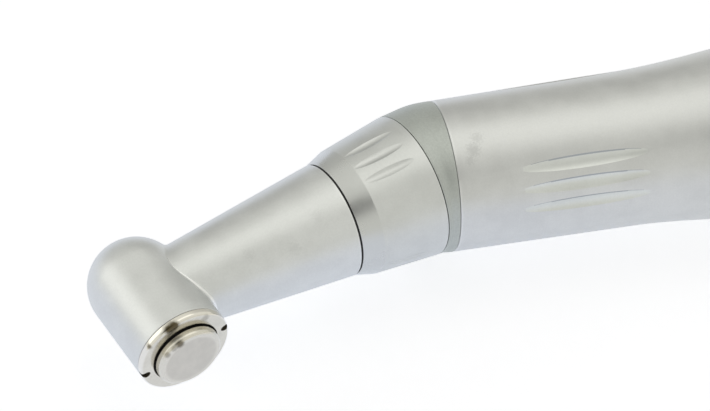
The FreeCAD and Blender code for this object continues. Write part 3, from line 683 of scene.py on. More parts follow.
class Graph:
    """Nodes of one material or of the world."""

    def __init__(self, owner: Union[bpy.types.Material, bpy.types.World]) -> None:
        """Starts with no nodes.

        Args:
            owner: The material or the world.
        """
        owner.use_nodes = True
        self.owner = owner
        self.tree = owner.node_tree
        self.tree.nodes.clear()

    @classmethod
    def named(cls, name: str) -> "Graph":
        """Starts a new material."""
        return cls(bpy.data.materials.new(name))

    def add(self, kind: str, settings: Mapping[str, object] | None = None,
            sockets: Mapping[Union[int, str], object] | None = None) -> bpy.types.Node:
        """Adds a node.

        Args:
            kind: The node's type.
            settings: Its settings, which are set first.
            sockets: Its inputs by name or number, each a wire or a constant.

        Returns:
            The node.
        """
        node = self.tree.nodes.new(kind)
        for key, value in (settings or {}).items():
            setattr(node, key, value)
        for key, value in (sockets or {}).items():
            if isinstance(value, Wire):
                self.tree.links.new(value.socket, node.inputs[key])
            else:
                node.inputs[key].default_value = value
        return node

    def wire(self, kind: str, settings: Mapping[str, object] | None = None,
             sockets: Mapping[Union[int, str], object] | None = None,
             output: Union[int, str] = 0) -> Wire:
        """Adds a node and wraps one of its outputs."""
        return Wire(self, self.add(kind, settings, sockets).outputs[output])

    def math(self, operation: str, *values: Value) -> Wire:
        """Adds a Math node over its values."""
        return self.wire("ShaderNodeMath", {"operation": operation}, dict(enumerate(values)))

    def vector(self, operation: str, *values: Union[Wire, Vector]) -> Wire:
        """Adds a Vector Math node.

        Args:
            operation: What it does.
            values: Its vectors.

        Returns:
            The vector or the number that it gives.
        """
        output = int(operation in ("DOT_PRODUCT", "LENGTH"))
        return self.wire("ShaderNodeVectorMath", {"operation": operation},
                         dict(enumerate(values)), output)

    def blend(self, factor: Value, first: Union[Wire, Rgb], second: Union[Wire, Rgb]) -> Wire:
        """Mixes two colours."""
        one, other = (c if isinstance(c, Wire) else (*c, 1.0) for c in (first, second))
        return self.wire("ShaderNodeMix", {"data_type": "RGBA"}, {0: factor, 6: one, 7: other}, 2)

    @property
    def place(self) -> Wire:
        """Place on the assembly, in its own frame."""
        raw = self.wire("ShaderNodeTexCoord", output="Object")
        return self.wire("ShaderNodeVectorMath", {"operation": "SCALE"}, {0: raw, "Scale": 1 / MM})

    def along(self, place: Wire, axis: Axis) -> Wire:
        """Height of a place on an axis."""
        offset = self.vector("SUBTRACT", place, axis.origin)
        return self.vector("DOT_PRODUCT", offset, axis.along)

    def radial(self, place: Wire, axis: Axis) -> Wire:
        """Distance of a place from an axis."""
        offset = self.vector("SUBTRACT", place, axis.origin)
        return self.vector("LENGTH", self.vector("CROSS_PRODUCT", offset, axis.along))

    def apart(self, place: Wire, centre: Vector) -> Wire:
        """Distance of a place from a point."""
        return self.vector("LENGTH", self.vector("SUBTRACT", place, centre))

    def rays(self) -> tuple[Wire, Wire]:
        """Tells rays apart.

        Returns:
            One for rays from the camera or through glass, and one for rays from a mirror.
        """
        path = self.add("ShaderNodeLightPath")
        camera, glossy, through = (Wire(self, path.outputs[f"Is {kind} Ray"])
                                   for kind in ("Camera", "Glossy", "Transmission"))
        plain = self.math("MAXIMUM", camera, through)
        return plain, glossy * (1 - plain)

    def close(self, color: Wire, metallic: Value, roughness: Value, height: Wire | None = None,
              depth: float = 0.0, **constants: object) -> bpy.types.Material:
        """Ends the graph in its surface shader.

        Args:
            color: Base colour.
            metallic: How metallic it is.
            roughness: How rough it is.
            height: Relief from 0 to 1, if it has any.
            depth: Depth of that relief.
            constants: The shader's other inputs, with underscores for spaces.

        Returns:
            The finished material.
        """
        sockets: dict[Union[int, str], object] = {
            "Base Color": color, "Metallic": metallic, "Roughness": roughness}
        sockets.update({key.replace("_", " "): value for key, value in constants.items()})
        if height is not None:
            sockets["Normal"] = self.wire(
                "ShaderNodeBump", {}, {"Strength": 1.0, "Distance": depth * MM, "Height": height},
                "Normal")
        shader = self.wire("ShaderNodeBsdfPrincipled", {}, sockets)
        self.add("ShaderNodeOutputMaterial", {}, {"Surface": shader})
        return self.owner


@dataclass(frozen=True)
class Noise:
    """A layer of noise from 0 to 1.

    Attributes:
        scale: Its grains to the millimetre.
        detail: How many finer layers it holds.
        roughness: How strong those are.
        limits: Values that are stretched to 0 and 1, if it is stretched.
    """

    scale: float
    detail: float = 2.0
    roughness: float = 0.5
    limits: Span | None = None

    def over(self, place: Wire) -> Wire:
        """The noise over a place."""
        return self.layer("3D", "Vector", place)

    def along(self, number: Wire) -> Wire:
        """The noise along a single number, as a turning tool leaves it."""
        return self.layer("1D", "W", number)

    def layer(self, dimensions: str, socket: str, where: Wire) -> Wire:
        """Adds the noise's node and stretches it.

        Args:
            dimensions: How many dimensions it has.
            socket: The socket for the place.
            where: The place.

        Returns:
            The noise.
        """
        noise = where.graph.wire("ShaderNodeTexNoise", {"noise_dimensions": dimensions},
                                 {socket: where, "Scale": self.scale, "Detail": self.detail,
                                  "Roughness": self.roughness})
        return noise.within(*self.limits) if self.limits else noise


# ---- finishes
@dataclass(frozen=True)
class Mark:
    """A mark that handling has left.

    Attributes:
        centre: Where it is.
        reach: How far it goes.
        strength: How strong it is at its middle.
    """

    centre: Vector
    reach: float
    strength: float


def marks_on(axis: Axis, *marks: tuple[float, float, float, float, float]) -> tuple[Mark, ...]:
    """Marks by their turn in degrees, radius and height on an axis, reach and strength."""
    return tuple(Mark(axis.polar(radius, math.radians(turn), z), reach, strength)
                 for turn, radius, z, reach, strength in marks)


@dataclass(frozen=True)
class Soiling:
    """How marks of one kind fade.

    Attributes:
        middle: How sure a mark is at its middle, where 1 fades to nothing at its reach.
        ragged: How far the grain frays its border.
        limits: Values between which it comes up.
    """

    middle: float
    ragged: float
    limits: Span

    def over(self, place: Wire, marks: Iterable[Mark], grit: Wire) -> Wire:
        """How strongly marks cover a place.

        Args:
            place: The place.
            marks: The marks.
            grit: The grain that frays their borders.

        Returns:
            Their strength, added up.
        """
        frayed = self.middle + grit.sway(self.ragged)
        return sum((frayed - place.graph.apart(place, mark.centre) / mark.reach)
                   .within(*self.limits) * mark.strength for mark in marks)


@dataclass(frozen=True)
class Tone:
    """How part of a surface differs from the rest: soiled, polished, turned, greasy or in painted
    shade.

    Attributes:
        share: How much of the colour it takes over.
        shade: Its shade of the clean colour.
        rough: What it adds to the roughness.
    """

    share: float
    shade: float
    rough: float

    def over(self, cover: Wire, clean: Rgb, base: Union[Wire, Rgb],
             rough: Value) -> tuple[Wire, Value]:
        """Lays the tone over a surface.

        Args:
            cover: Where it lies, from 0 to 1.
            clean: The surface's clean colour.
            base: Its colour so far.
            rough: Its roughness so far.

        Returns:
            The new colour and roughness.
        """
        mixed = cover.graph.blend(cover * self.share, base, shaded(clean, self.shade))
        return mixed, rough + cover * self.rough


@dataclass(frozen=True)
class Finish:
    """A finish.

    Attributes:
        name: The name of its material.
    """

    name: str

    def material(self) -> bpy.types.Material:
        """Makes the material."""
        return self.shade(Graph.named(self.name).place)

    def shade(self, place: Wire) -> bpy.types.Material:
        """Adds the finish's own nodes.

        Args:
            place: The place on the assembly.

        Returns:
            The finished material.
        """
        raise NotImplementedError


@dataclass(frozen=True)
class SatinSteel(Finish):
    """Fine-blasted stainless steel with faint handling marks.

    Attributes:
        axis: The turning axis whose faint marks it keeps.
        edges, edge_width: Heights of edges that handling has polished, and how far that reaches.
        turning: Strength of the turning marks.
        grain_tint, relief: How much the grain darkens the colour, and its depth.
        smudges: Dull marks.
        smooth_from: Height from which the surface is a smoother, turned cone.
        grit, cloud, rings: The blasting's grain, slow clouding and the lathe's marks.
        grit_rough, cloud_rough, ring_rough: How far each of them varies the roughness.
        pits: Relief between which the grain darkens the colour.
        shades: Shades of the colour that the clouding runs between.
        soiling, smudge: How smudges fade, and their tone.
        worn, cone: Tones of the polished edges and of the turned cone.
        cone_start: How softly the cone begins.
    """

    axis: Axis
    color: Rgb = (0.67, 0.675, 0.67)
    metallic: float = 0.86
    roughness: float = 0.4
    edges: tuple[float, ...] = ()
    edge_width: float = 0.22
    turning: float = 0.2
    grain_tint: float = 0.044
    relief: float = 0.006
    smudges: tuple[Mark, ...] = ()
    smooth_from: float | None = None
    grit: ClassVar[Noise] = Noise(5.0, detail=3.0, roughness=0.65)
    cloud: ClassVar[Noise] = Noise(0.3, detail=3.0, roughness=0.55, limits=(0.3, 0.7))
    rings: ClassVar[Noise] = Noise(9.0, detail=3.0, roughness=0.6)
    grit_rough: ClassVar[float] = 0.06
    cloud_rough: ClassVar[float] = 0.08
    ring_rough: ClassVar[float] = 0.1
    pits: ClassVar[Span] = (0.3, 0.7)
    shades: ClassVar[Span] = (0.945, 1.03)
    soiling: ClassVar[Soiling] = Soiling(middle=1.15, ragged=1.6, limits=(0.2, 1.0))
    smudge: ClassVar[Tone] = Tone(share=1.0, shade=0.62, rough=0.1)
    wear_and_highlight: ClassVar[Tone] = Tone(share=0.4, shade=1.1, rough=-0.08)
    cone: ClassVar[Tone] = Tone(share=0.5, shade=0.86, rough=-0.1)
    cone_start: ClassVar[Span] = (-0.02, 0.02)

    def shade(self, place: Wire) -> bpy.types.Material:
        """Adds the finish's own nodes.

        Args:
            place: The place on the assembly.

        Returns:
            The finished material.
        """
        graph = place.graph
        height = graph.along(place, self.axis)
        grit, cloud, rings = self.grit.over(place), self.cloud.over(place), self.rings.along(height)
        relief = grit * (1 - self.turning) + rings * self.turning
        base = graph.blend(cloud, *(shaded(self.color, shade) for shade in self.shades))
        base = graph.blend(relief.within(*self.pits) * self.grain_tint, base, BLACK)
        rough = (self.roughness + cloud.sway(self.cloud_rough) + grit.sway(self.grit_rough)
                 + rings.sway(self.ring_rough * self.turning))
        covers = []
        if self.smudges:
            covers.append((self.smudge, self.soiling.over(place, self.smudges, grit)))
        if self.edges:
            wear_and_highlight = sum((1 - abs(height - edge) / self.edge_width).within(0.0, 1.0)
                       for edge in self.edges)
            covers.append((self.wear_and_highlight, wear_and_highlight))
        if self.smooth_from is not None:
            covers.append((self.cone, (height - self.smooth_from).within(*self.cone_start)))
        for tone, cover in covers:
            base, rough = tone.over(cover, self.color, base, rough)
        return graph.close(base, self.metallic, rough, relief, self.relief)


@dataclass(frozen=True)
class PolishedNickel(Finish):
    """Turned and polished metal with a warm tone, painted black as shade where it bounds a deep
    gap.

    Attributes:
        axis: Its turning axis.
        top, split: Height of its flat face, and the radius where the polished edge begins.
        gap_r, gap_z: Radius inside which and height under which the walls are painted black as
            shade.
        holes: Half the length outwards, half the width, distance from the axis and turn in
        radians of two holes painted dark as shade.
        stains, soiling: Brown marks, and how they fade.
        rings, cloud, grit: The lathe's marks, slow clouding and a fine grain.
        ring_rough, cloud_rough: How far each of them varies the roughness.
        stain, black, oil: Colours of the brown marks, and of the painted shade in the deep gap
        and in the holes.
        dark_rough: What the parts painted dark as shade add to the roughness.
        border, skin: Distances inside the split and above the face between which the face begins.
        clouded: Clouding between which the face goes from its darker shade to its colour.
        soft: Width of the border of the gap's painted shade.
        hair: How far the holes' painted shade reaches over their edge, and the softness of its end.
    """

    axis: Axis
    top: float
    split: float
    gap_r: float
    gap_z: float
    face: Rgb = (0.68, 0.65, 0.575)
    rim: Rgb = (0.76, 0.73, 0.67)
    face_roughness: float = 0.2
    rim_roughness: float = 0.14
    holes: Four | None = None
    stains: tuple[Mark, ...] = ()
    metallic: ClassVar[float] = 0.95
    relief: ClassVar[float] = 0.003
    ring_relief: ClassVar[float] = 0.7
    rings: ClassVar[Noise] = Noise(7.0, detail=4.0, roughness=0.6)
    cloud: ClassVar[Noise] = Noise(0.9, detail=3.0, roughness=0.6)
    grit: ClassVar[Noise] = Noise(14.0)
    ring_rough: ClassVar[float] = 0.1
    cloud_rough: ClassVar[float] = 0.08
    stain: ClassVar[Rgb] = (0.10, 0.08, 0.045)
    black: ClassVar[Rgb] = (0.014, 0.011, 0.008)
    hole_shade: ClassVar[Rgb] = (0.06, 0.048, 0.028)
    dark_rough: ClassVar[float] = 0.5
    border: ClassVar[Span] = (-0.25, 0.15)
    skin: ClassVar[Span] = (-0.16, -0.02)
    clouded: ClassVar[Span] = (0.35, 0.7)
    clouded_shade: ClassVar[float] = 0.93
    soiling: ClassVar[Soiling] = Soiling(middle=1.0, ragged=0.5, limits=(0.1, 0.75))
    soft: ClassVar[float] = 0.03
    hair: ClassVar[Span] = (0.02, 0.04)

    def shade(self, place: Wire) -> bpy.types.Material:
        """Adds the finish's own nodes.

        Args:
            place: The place on the assembly.

        Returns:
            The finished material.
        """
        graph = place.graph
        radius, height = graph.radial(place, self.axis), graph.along(place, self.axis)
        rings, cloud, grit = self.rings.along(radius), self.cloud.over(place), self.grit.over(place)
        inside = (self.split - radius).within(*self.border)
        on_face = inside * (height - self.top).within(*self.skin)
        dim = shaded(self.face, self.clouded_shade)
        face = graph.blend(cloud.within(*self.clouded), dim, self.face)
        base = graph.blend(on_face, self.rim, face)
        rough = (self.rim_roughness + on_face * (self.face_roughness - self.rim_roughness)
                 + rings.sway(self.ring_rough) + cloud.sway(self.cloud_rough))
        base = graph.blend(self.soiling.over(place, self.stains, grit), base, self.stain)
        # Painted shade: the walls that bound the deep gap are painted black.
        in_gap = (self.gap_r - radius).within(0.0, self.soft)
        dark = in_gap * (self.gap_z - height).within(0.0, self.soft)
        base = graph.blend(dark, base, self.black)
        # Painted shade: the spanner holes are painted dark brown.
        if self.holes:
            in_hole_shade = self.hole_mask(place)
            base = graph.blend(in_hole_shade, base, self.hole_shade)
            dark = dark + in_hole_shade
        relief = rings * self.ring_relief + grit * (1 - self.ring_relief)
        return graph.close(base, self.metallic * (1 - dark), rough + dark * self.dark_rough, relief,
                           self.relief)

    def hole_mask(self, place: Wire) -> Wire:
        """Finds the two holes.

        Args:
            place: The place on the assembly.

        Returns:
            One inside the holes and a hair round them.
        """
        (long, wide, reach, turn), (over, soft), graph = self.holes, self.hair, place.graph
        way = self.axis.side * math.cos(turn) + self.axis.across * math.sin(turn)
        local = graph.vector("SUBTRACT", place, self.axis.origin)
        run = abs(graph.vector("DOT_PRODUCT", local, way)) - reach
        aside = graph.vector("DOT_PRODUCT", local, way.cross(self.axis.along))
        run, aside = run / (long + over), aside / (wide + over)
        return (1 - (run * run + aside * aside) ** 0.5).within(0.0, soft)


@dataclass(frozen=True)
class TurnedMetal(Finish):
    """Metal inside the handpiece, with lathe marks, a thin greasy film and painted shade deep in
    bores.

    Attributes:
        axis: Its turning axis.
        pitch, relief: Turning marks to the millimetre, and their depth.
        bore_shade: Heights between which the metal is painted darker as shade, as deep in a bore.
        ring_rough: How far the turning marks vary the roughness.
        lead: How much closer the marks lie along the axis than across it.
        film, thin, deep: The greasy film, its tone where it is thin, and the painted shade deep in
            the bore.
    """

    axis: Axis
    color: Rgb
    roughness: float = 0.3
    pitch: float = 8.0
    relief: float = 0.004
    bore_shade: Span | None = None
    ring_rough: ClassVar[float] = 0.16
    lead: ClassVar[float] = 1.3
    film: ClassVar[Noise] = Noise(0.8, detail=3.0, limits=(0.4, 0.75))
    thin: ClassVar[Tone] = Tone(share=0.5, shade=0.72, rough=-0.06)
    # Painted shade deep in a bore.
    deep: ClassVar[Tone] = Tone(share=1.0, shade=0.3, rough=0.0)

    def shade(self, place: Wire) -> bpy.types.Material:
        """Adds the finish's own nodes.

        Args:
            place: The place on the assembly.

        Returns:
            The finished material.
        """
        graph = place.graph
        height, radius = graph.along(place, self.axis), graph.radial(place, self.axis)
        rings = Noise(self.pitch, detail=4.0, roughness=0.6).along(height * self.lead + radius)
        rough = self.roughness + rings.sway(self.ring_rough)
        base, rough = self.thin.over(self.film.over(place), self.color, self.color, rough)
        # Painted shade: the metal is painted darker deep in the bore.
        if self.bore_shade:
            base, rough = self.deep.over(height.within(*self.bore_shade), self.color, base, rough)
        return graph.close(base, 1.0, rough, rings, self.relief)


@dataclass(frozen=True)
class SealRubber(Finish):
    """Black rubber of the sealing rings.

    Attributes:
        grain, relief: Its grain, and the depth of that.
        dust: The dust, with its colour, its strength and what it adds to the roughness.
    """

    name: str = "seal_rubber"
    color: Rgb = (0.012, 0.012, 0.013)
    roughness: float = 0.55
    relief: float = 0.006
    grain: ClassVar[Noise] = Noise(9.0, detail=3.0)
    dust: ClassVar[Noise] = Noise(2.2, detail=4.0, roughness=0.7, limits=(0.55, 0.8))
    dust_color: ClassVar[Rgb] = (0.05, 0.05, 0.048)
    dust_share: ClassVar[float] = 0.4
    dust_rough: ClassVar[float] = 0.2

    def shade(self, place: Wire) -> bpy.types.Material:
        """Adds the finish's own nodes.

        Args:
            place: The place on the assembly.

        Returns:
            The finished material.
        """
        dust, graph = self.dust.over(place), place.graph
        base = graph.blend(dust * self.dust_share, self.color, self.dust_color)
        rough = self.roughness + dust * self.dust_rough
        return graph.close(base, 0.0, rough, self.grain.over(place), self.relief)


# ---- sub-assemblies
class Slot(Enum):
    """Material slots of the assembly's record, named for the rebuilt pieces."""

    SATIN = "satin_steel"
    POLISHED = "polished_steel"
    MACHINED = "machined_steel"
    SPRING = "spring_steel"
    SEAL = "seal_black"


@dataclass
class SubAssembly:
    """Pieces that belong together: each kind builds its meshes and dresses them.

    Attributes:
        pieces: The pieces, by the node that each stands for.
        made: The materials that are made so far, by name.
    """

    pieces: dict[str, Piece] = field(default_factory=dict, init=False)
    made: ClassVar[dict[str, bpy.types.Material]] = {}

    def build(self) -> None:
        """Builds the meshes of the pieces."""
        raise NotImplementedError

    def dress(self) -> None:
        """Dresses the pieces."""
        raise NotImplementedError

    def paint(self, piece: Piece, *finishes: Finish) -> None:
        """Gives a piece its finish.

        Args:
            piece: The piece.
            finishes: Its finish, and those of the faces set aside for them.
        """
        slots = piece.data.materials
        if len(slots) != len(finishes):
            slots.clear()
            for _ in finishes:
                slots.append(None)
        for i, each in enumerate(finishes):
            if each.name not in self.made:
                self.made[each.name] = each.material()
            slots[i] = self.made[each.name]

    def stand_in(self, node: str, body: str, slot: Slot, *finishes: Finish) -> None:
        """Puts a finer piece in a node's place.

        Args:
            node: The node that it stands for.
            body: The body that it rides on.
            slot: The material slot that its node has in the record; not used.
            finishes: Its finish, and those of the faces set aside for them.
        """
        piece = self.pieces[node]
        self.paint(piece, *finishes)
        low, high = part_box(node)
        places = list(zip(*(v.co for v in piece.data.vertices)))
        off = max(max(abs(min(values) - low[i]), abs(max(values) - high[i]))
                  for i, values in enumerate(places))
        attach(piece, body)
        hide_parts(node)
        LOG.info("%s: %d faces, %.3f mm off its node's box",
                 piece.name, len(piece.data.polygons), off / MM)


@dataclass
class Handle(SubAssembly):
    """Outer sleeve: a straight grip with flutes and a flare towards the motor.

    Attributes:
        waist_r: Radius where the flare starts.
        flare_start: How far that is behind the front.
        flare_end: Height where the flare ends in the rear cylinder.
        mouth: Length of the first run behind the front.
        front_bore, mid_bore_r: Depth of the bore for the elbow, and radius of the one behind it.
        socket_r, socket_z: Radii and heights of the stepped seat of the motor's socket.
        flute: Length, width and depth of a flute.
        flute_back, flute_lean: How far behind the front a flute's middle lies, and its lean.
        flute_deg: Turn of the first group of flutes.
        row_gap: Least distance of the flare's rows from the flutes' rows.
        wear_and_highlight: How far edges polished by handling lie behind the front and ahead of the rear.
    """

    front_r: float = 7.75
    waist_r: float = 7.96
    flare_start: float = 19.0
    flare_end: float = 16.0
    rear_r: float = 10.0
    rear_round: float = 0.9
    seam_edge: float = 0.12
    mouth: float = 1.0
    front_bore_r: float = 6.3
    front_bore: float = 13.0
    mid_bore_r: float = 6.9
    socket_r: Span = (8.61, 7.61)
    socket_z: Span = (20.0, 27.05)
    flute: Triple = (13.4, 1.55, 0.21)
    flute_lean: float = 0.05
    flute_back: float = 13.1
    flute_deg: float = 29.0
    row_gap: float = 0.1
    wear_and_highlight: Span = (0.1, 0.3)

    def build(self) -> None:
        """Builds the sleeve."""
        length = LAYOUT.handle_length
        taper = (self.waist_r - self.front_r) / self.flare_start
        grip = Grip(length=self.flute[0], width=self.flute[1], depth=self.flute[2],
                    middle=length - self.flute_back, radius=self.front_r + taper * self.flute_back,
                    first_deg=self.flute_deg, lean=self.flute_lean)
        (wide, narrow), (step, deep), bored = self.socket_r, self.socket_z, length - self.front_bore
        rear = outline((self.rear_r, self.flare_end), (self.rear_r, 0, self.rear_round), (wide, 0),
                       closed=False)
        mouth = outline((self.front_bore_r, length - self.mouth), (self.front_bore_r, length),
                        (self.front_r, length, self.seam_edge),
                        (self.front_r + taper * self.mouth, length - self.mouth), closed=False)
        grip_rows = [(self.front_r + taper * (length - z), z) for z in reversed(grip.levels())]
        inside = [(wide, step), (narrow, step), (narrow, deep), (self.mid_bore_r, deep),
                  (self.mid_bore_r, bored), (self.front_bore_r, bored)]
        flare = [p for p in self.flare(taper) if p[1] < grip_rows[-1][1] - self.row_gap]
        points = [*mouth, *grip_rows, *flare, *rear[1:], *inside]
        self.pieces["handle_sleeve"] = turned("sleeve", LAYOUT.handle, points, grip)

    def flare(self, taper: float, steps: int = 40) -> list[Point]:
        """Outline of the flare, from the waist to the rear cylinder.

        Args:
            taper: How much the grip's radius grows to the millimetre.
            steps: Steps along the flare.

        Returns:
            The outline, from the front.
        """
        start = LAYOUT.handle_length - self.flare_start
        reach = start - self.flare_end
        points: list[Point] = []
        for i in range(steps + 1):
            t = i / steps
            radius = (self.waist_r + (self.rear_r - self.waist_r) * t * t * (3 - 2 * t)
                      + taper * reach * t * (1 - t) ** 2)
            points.append((radius, start - reach * t))
        return points

    def dress(self) -> None:
        """Gives the sleeve its satin finish."""
        front, rear = self.wear_and_highlight
        smudges = marks_on(LAYOUT.handle, (65, 7.77, 58.0, 1.1, 0.4), (74, 7.77, 57.3, 0.9, 0.3),
                           (57, 7.77, 58.6, 0.7, 0.25))
        finish = SatinSteel("satin_sleeve", LAYOUT.handle,
                            edges=(LAYOUT.handle_length - front, rear), smudges=smudges)
        # The first group of flutes has painted shade on its crisp upper edges and a painted
        # highlight on the rest of each flute.
        crisp = SatinSteel("satin_flute_edge", LAYOUT.handle, color=(0.40, 0.42, 0.44))
        wear_and_highlight = SatinSteel("satin_flute", LAYOUT.handle, color=(0.71, 0.725, 0.705))
        self.stand_in("handle_sleeve", "housing", Slot.SATIN, finish, crisp, wear_and_highlight)


@dataclass
class Coupling(SubAssembly):
    """Motor end: the socket, the carrier tube, the shaft and its sprung dog.

    Attributes:
        lead_in: Rounding of the mouth of the bore for the motor's nose.
        groove: Two heights and the radius of the groove for the motor's snap ring.
        socket_r, socket_z: Radii and heights of the stepped socket.
        bush, bush_setback: Length of a bush, and how far inside the tube the first one begins.
        tail_r, tail_end: Radius and end of the shaft's tail, which the dog slides on.
        collar: Two heights and the radius of the shaft's collar.
        dog_fork, tang: Length and width of the dog's two tangs.
        pin_at, pin_clear: Height of the cross pin, and its clearance in the dog's slot.
        pin_hole: Width of the tool for the pin's hole.
        pin_slot: Heights of the dog's slot.
    """

    nose_r: float = 6.7
    nose_depth: float = 24.0
    lead_in: float = 0.25
    groove: Triple = (10.0, 11.4, 7.05)
    socket_r: Span = (8.6, 7.6)
    socket_z: Span = (20.0, 27.0)
    tube_r: float = 4.6
    tube_z: Span = (23.0, 57.2)
    tube_bore_r: float = 3.1
    bush_seat_r: float = 3.61
    bush: float = 3.5
    bush_setback: float = 2.2
    shaft_r: float = 1.75
    tail_r: float = 1.1
    tail_end: float = 15.0
    shaft_end: float = 57.42
    collar: Triple = (24.25, 25.15, 2.6)
    collar_edge: float = 0.08
    dog_r: float = 2.0
    dog_z: Span = (11.5, 20.2)
    dog_fork: float = 2.6
    dog_edge: float = 0.12
    tang: float = 1.0
    dog_bore_r: float = 1.12
    pin_r: float = 0.35
    pin_at: float = 17.5
    pin_clear: float = 0.03
    pin_hole: Span = (-2, 2)
    pin_slot: Span = (14.62, 17.88)

    def build(self) -> None:
        """Builds the pieces of the motor end."""
        axis = LAYOUT.handle
        (wide, narrow), (step, end), (low, high, deep) = self.socket_r, self.socket_z, self.groove
        seat = self.tube_r + LAYOUT.seat
        self.pieces["coupling_socket"] = turned("motor_socket", axis, outline(
            (self.nose_r, 0, self.lead_in), (wide, 0, self.collar_edge), (wide, step),
            (narrow, step), (narrow, end), (seat, end), (seat, self.nose_depth),
            (self.nose_r, self.nose_depth),
            (self.nose_r, high, CRISP), (deep, high, BROKEN), (deep, low, BROKEN),
            (self.nose_r, low, CRISP)))
        rear, front = self.tube_z
        rear_seat, front_seat = rear + self.bush_setback + self.bush, front - self.bush
        self.pieces["shaft_tube"] = turned("carrier_tube", axis, outline(
            (self.bush_seat_r, rear), (self.tube_r, rear, BROKEN), (self.tube_r, front, BROKEN),
            (self.bush_seat_r, front), (self.bush_seat_r, front_seat),
            (self.tube_bore_r, front_seat), (self.tube_bore_r, rear_seat),
            (self.bush_seat_r, rear_seat)))
        self.shaft()
        self.dog()

    def shaft(self) -> None:
        """Builds the drive shaft with its collar, its thin tail and the pin's hole."""
        axis, (low, high, radius) = LAYOUT.handle, self.collar
        shaft = turned("drive_spindle", axis, outline(
            (0, self.tail_end), (self.tail_r, self.tail_end, BROKEN), (self.tail_r, low),
            (radius, low, self.collar_edge), (radius, high, self.collar_edge), (self.shaft_r, high),
            (self.shaft_r, self.shaft_end, BROKEN), (0, self.shaft_end), closed=False),
            Columns(COARSE), closed=False)
        cross = Axis(axis.point(0, 0, self.pin_at), axis.across, axis.side)
        hole = rod("pin_hole", cross, self.pin_r + LAYOUT.seat, *self.pin_hole, SMALL)
        self.pieces["drive_shaft"] = worked(shaft, (Cut.AWAY, hole))

    def dog(self) -> None:
        """Builds the claw with two tangs that the motor turns."""
        axis, (low, high) = LAYOUT.handle, self.dog_z
        dog = turned("claw", axis, outline(
            (self.dog_bore_r, low), (self.dog_r, low, self.dog_edge), (self.dog_r, high, BROKEN),
            (self.dog_bore_r, high)), Columns(COARSE))
        half, out, slot = self.tang / 2, self.dog_r + OVER, self.pin_r + self.pin_clear
        sides = [(Cut.AWAY, prism("side", axis, slab((-out, out), span), low - OVER,
                                  low + self.dog_fork)) for span in ((half, out), (-out, -half))]
        cross = prism("slot", axis, slab((-slot, slot), ACROSS), *self.pin_slot)
        self.pieces["drive_dog"] = worked(dog, *sides, (Cut.AWAY, cross))

    def dress(self) -> None:
        """Gives the pieces of the motor end their finishes."""
        # Painted shade: these pieces are painted darker deep in the motor's bore.
        bright = TurnedMetal("turned_socket", LAYOUT.handle, (0.60, 0.60, 0.59), 0.26,
                             bore_shade=LAYOUT.bore_shade)
        ground = TurnedMetal("ground_shaft", LAYOUT.handle, (0.56, 0.56, 0.56), 0.2, pitch=14.0,
                             relief=0.002, bore_shade=LAYOUT.bore_shade)
        self.stand_in("coupling_socket", "housing", Slot.MACHINED, bright)
        self.stand_in("shaft_tube", "housing", Slot.MACHINED, bright)
        self.stand_in("drive_shaft", "drive_shaft", Slot.MACHINED, ground)
        self.stand_in("drive_dog", "drive_dog", Slot.MACHINED, ground)


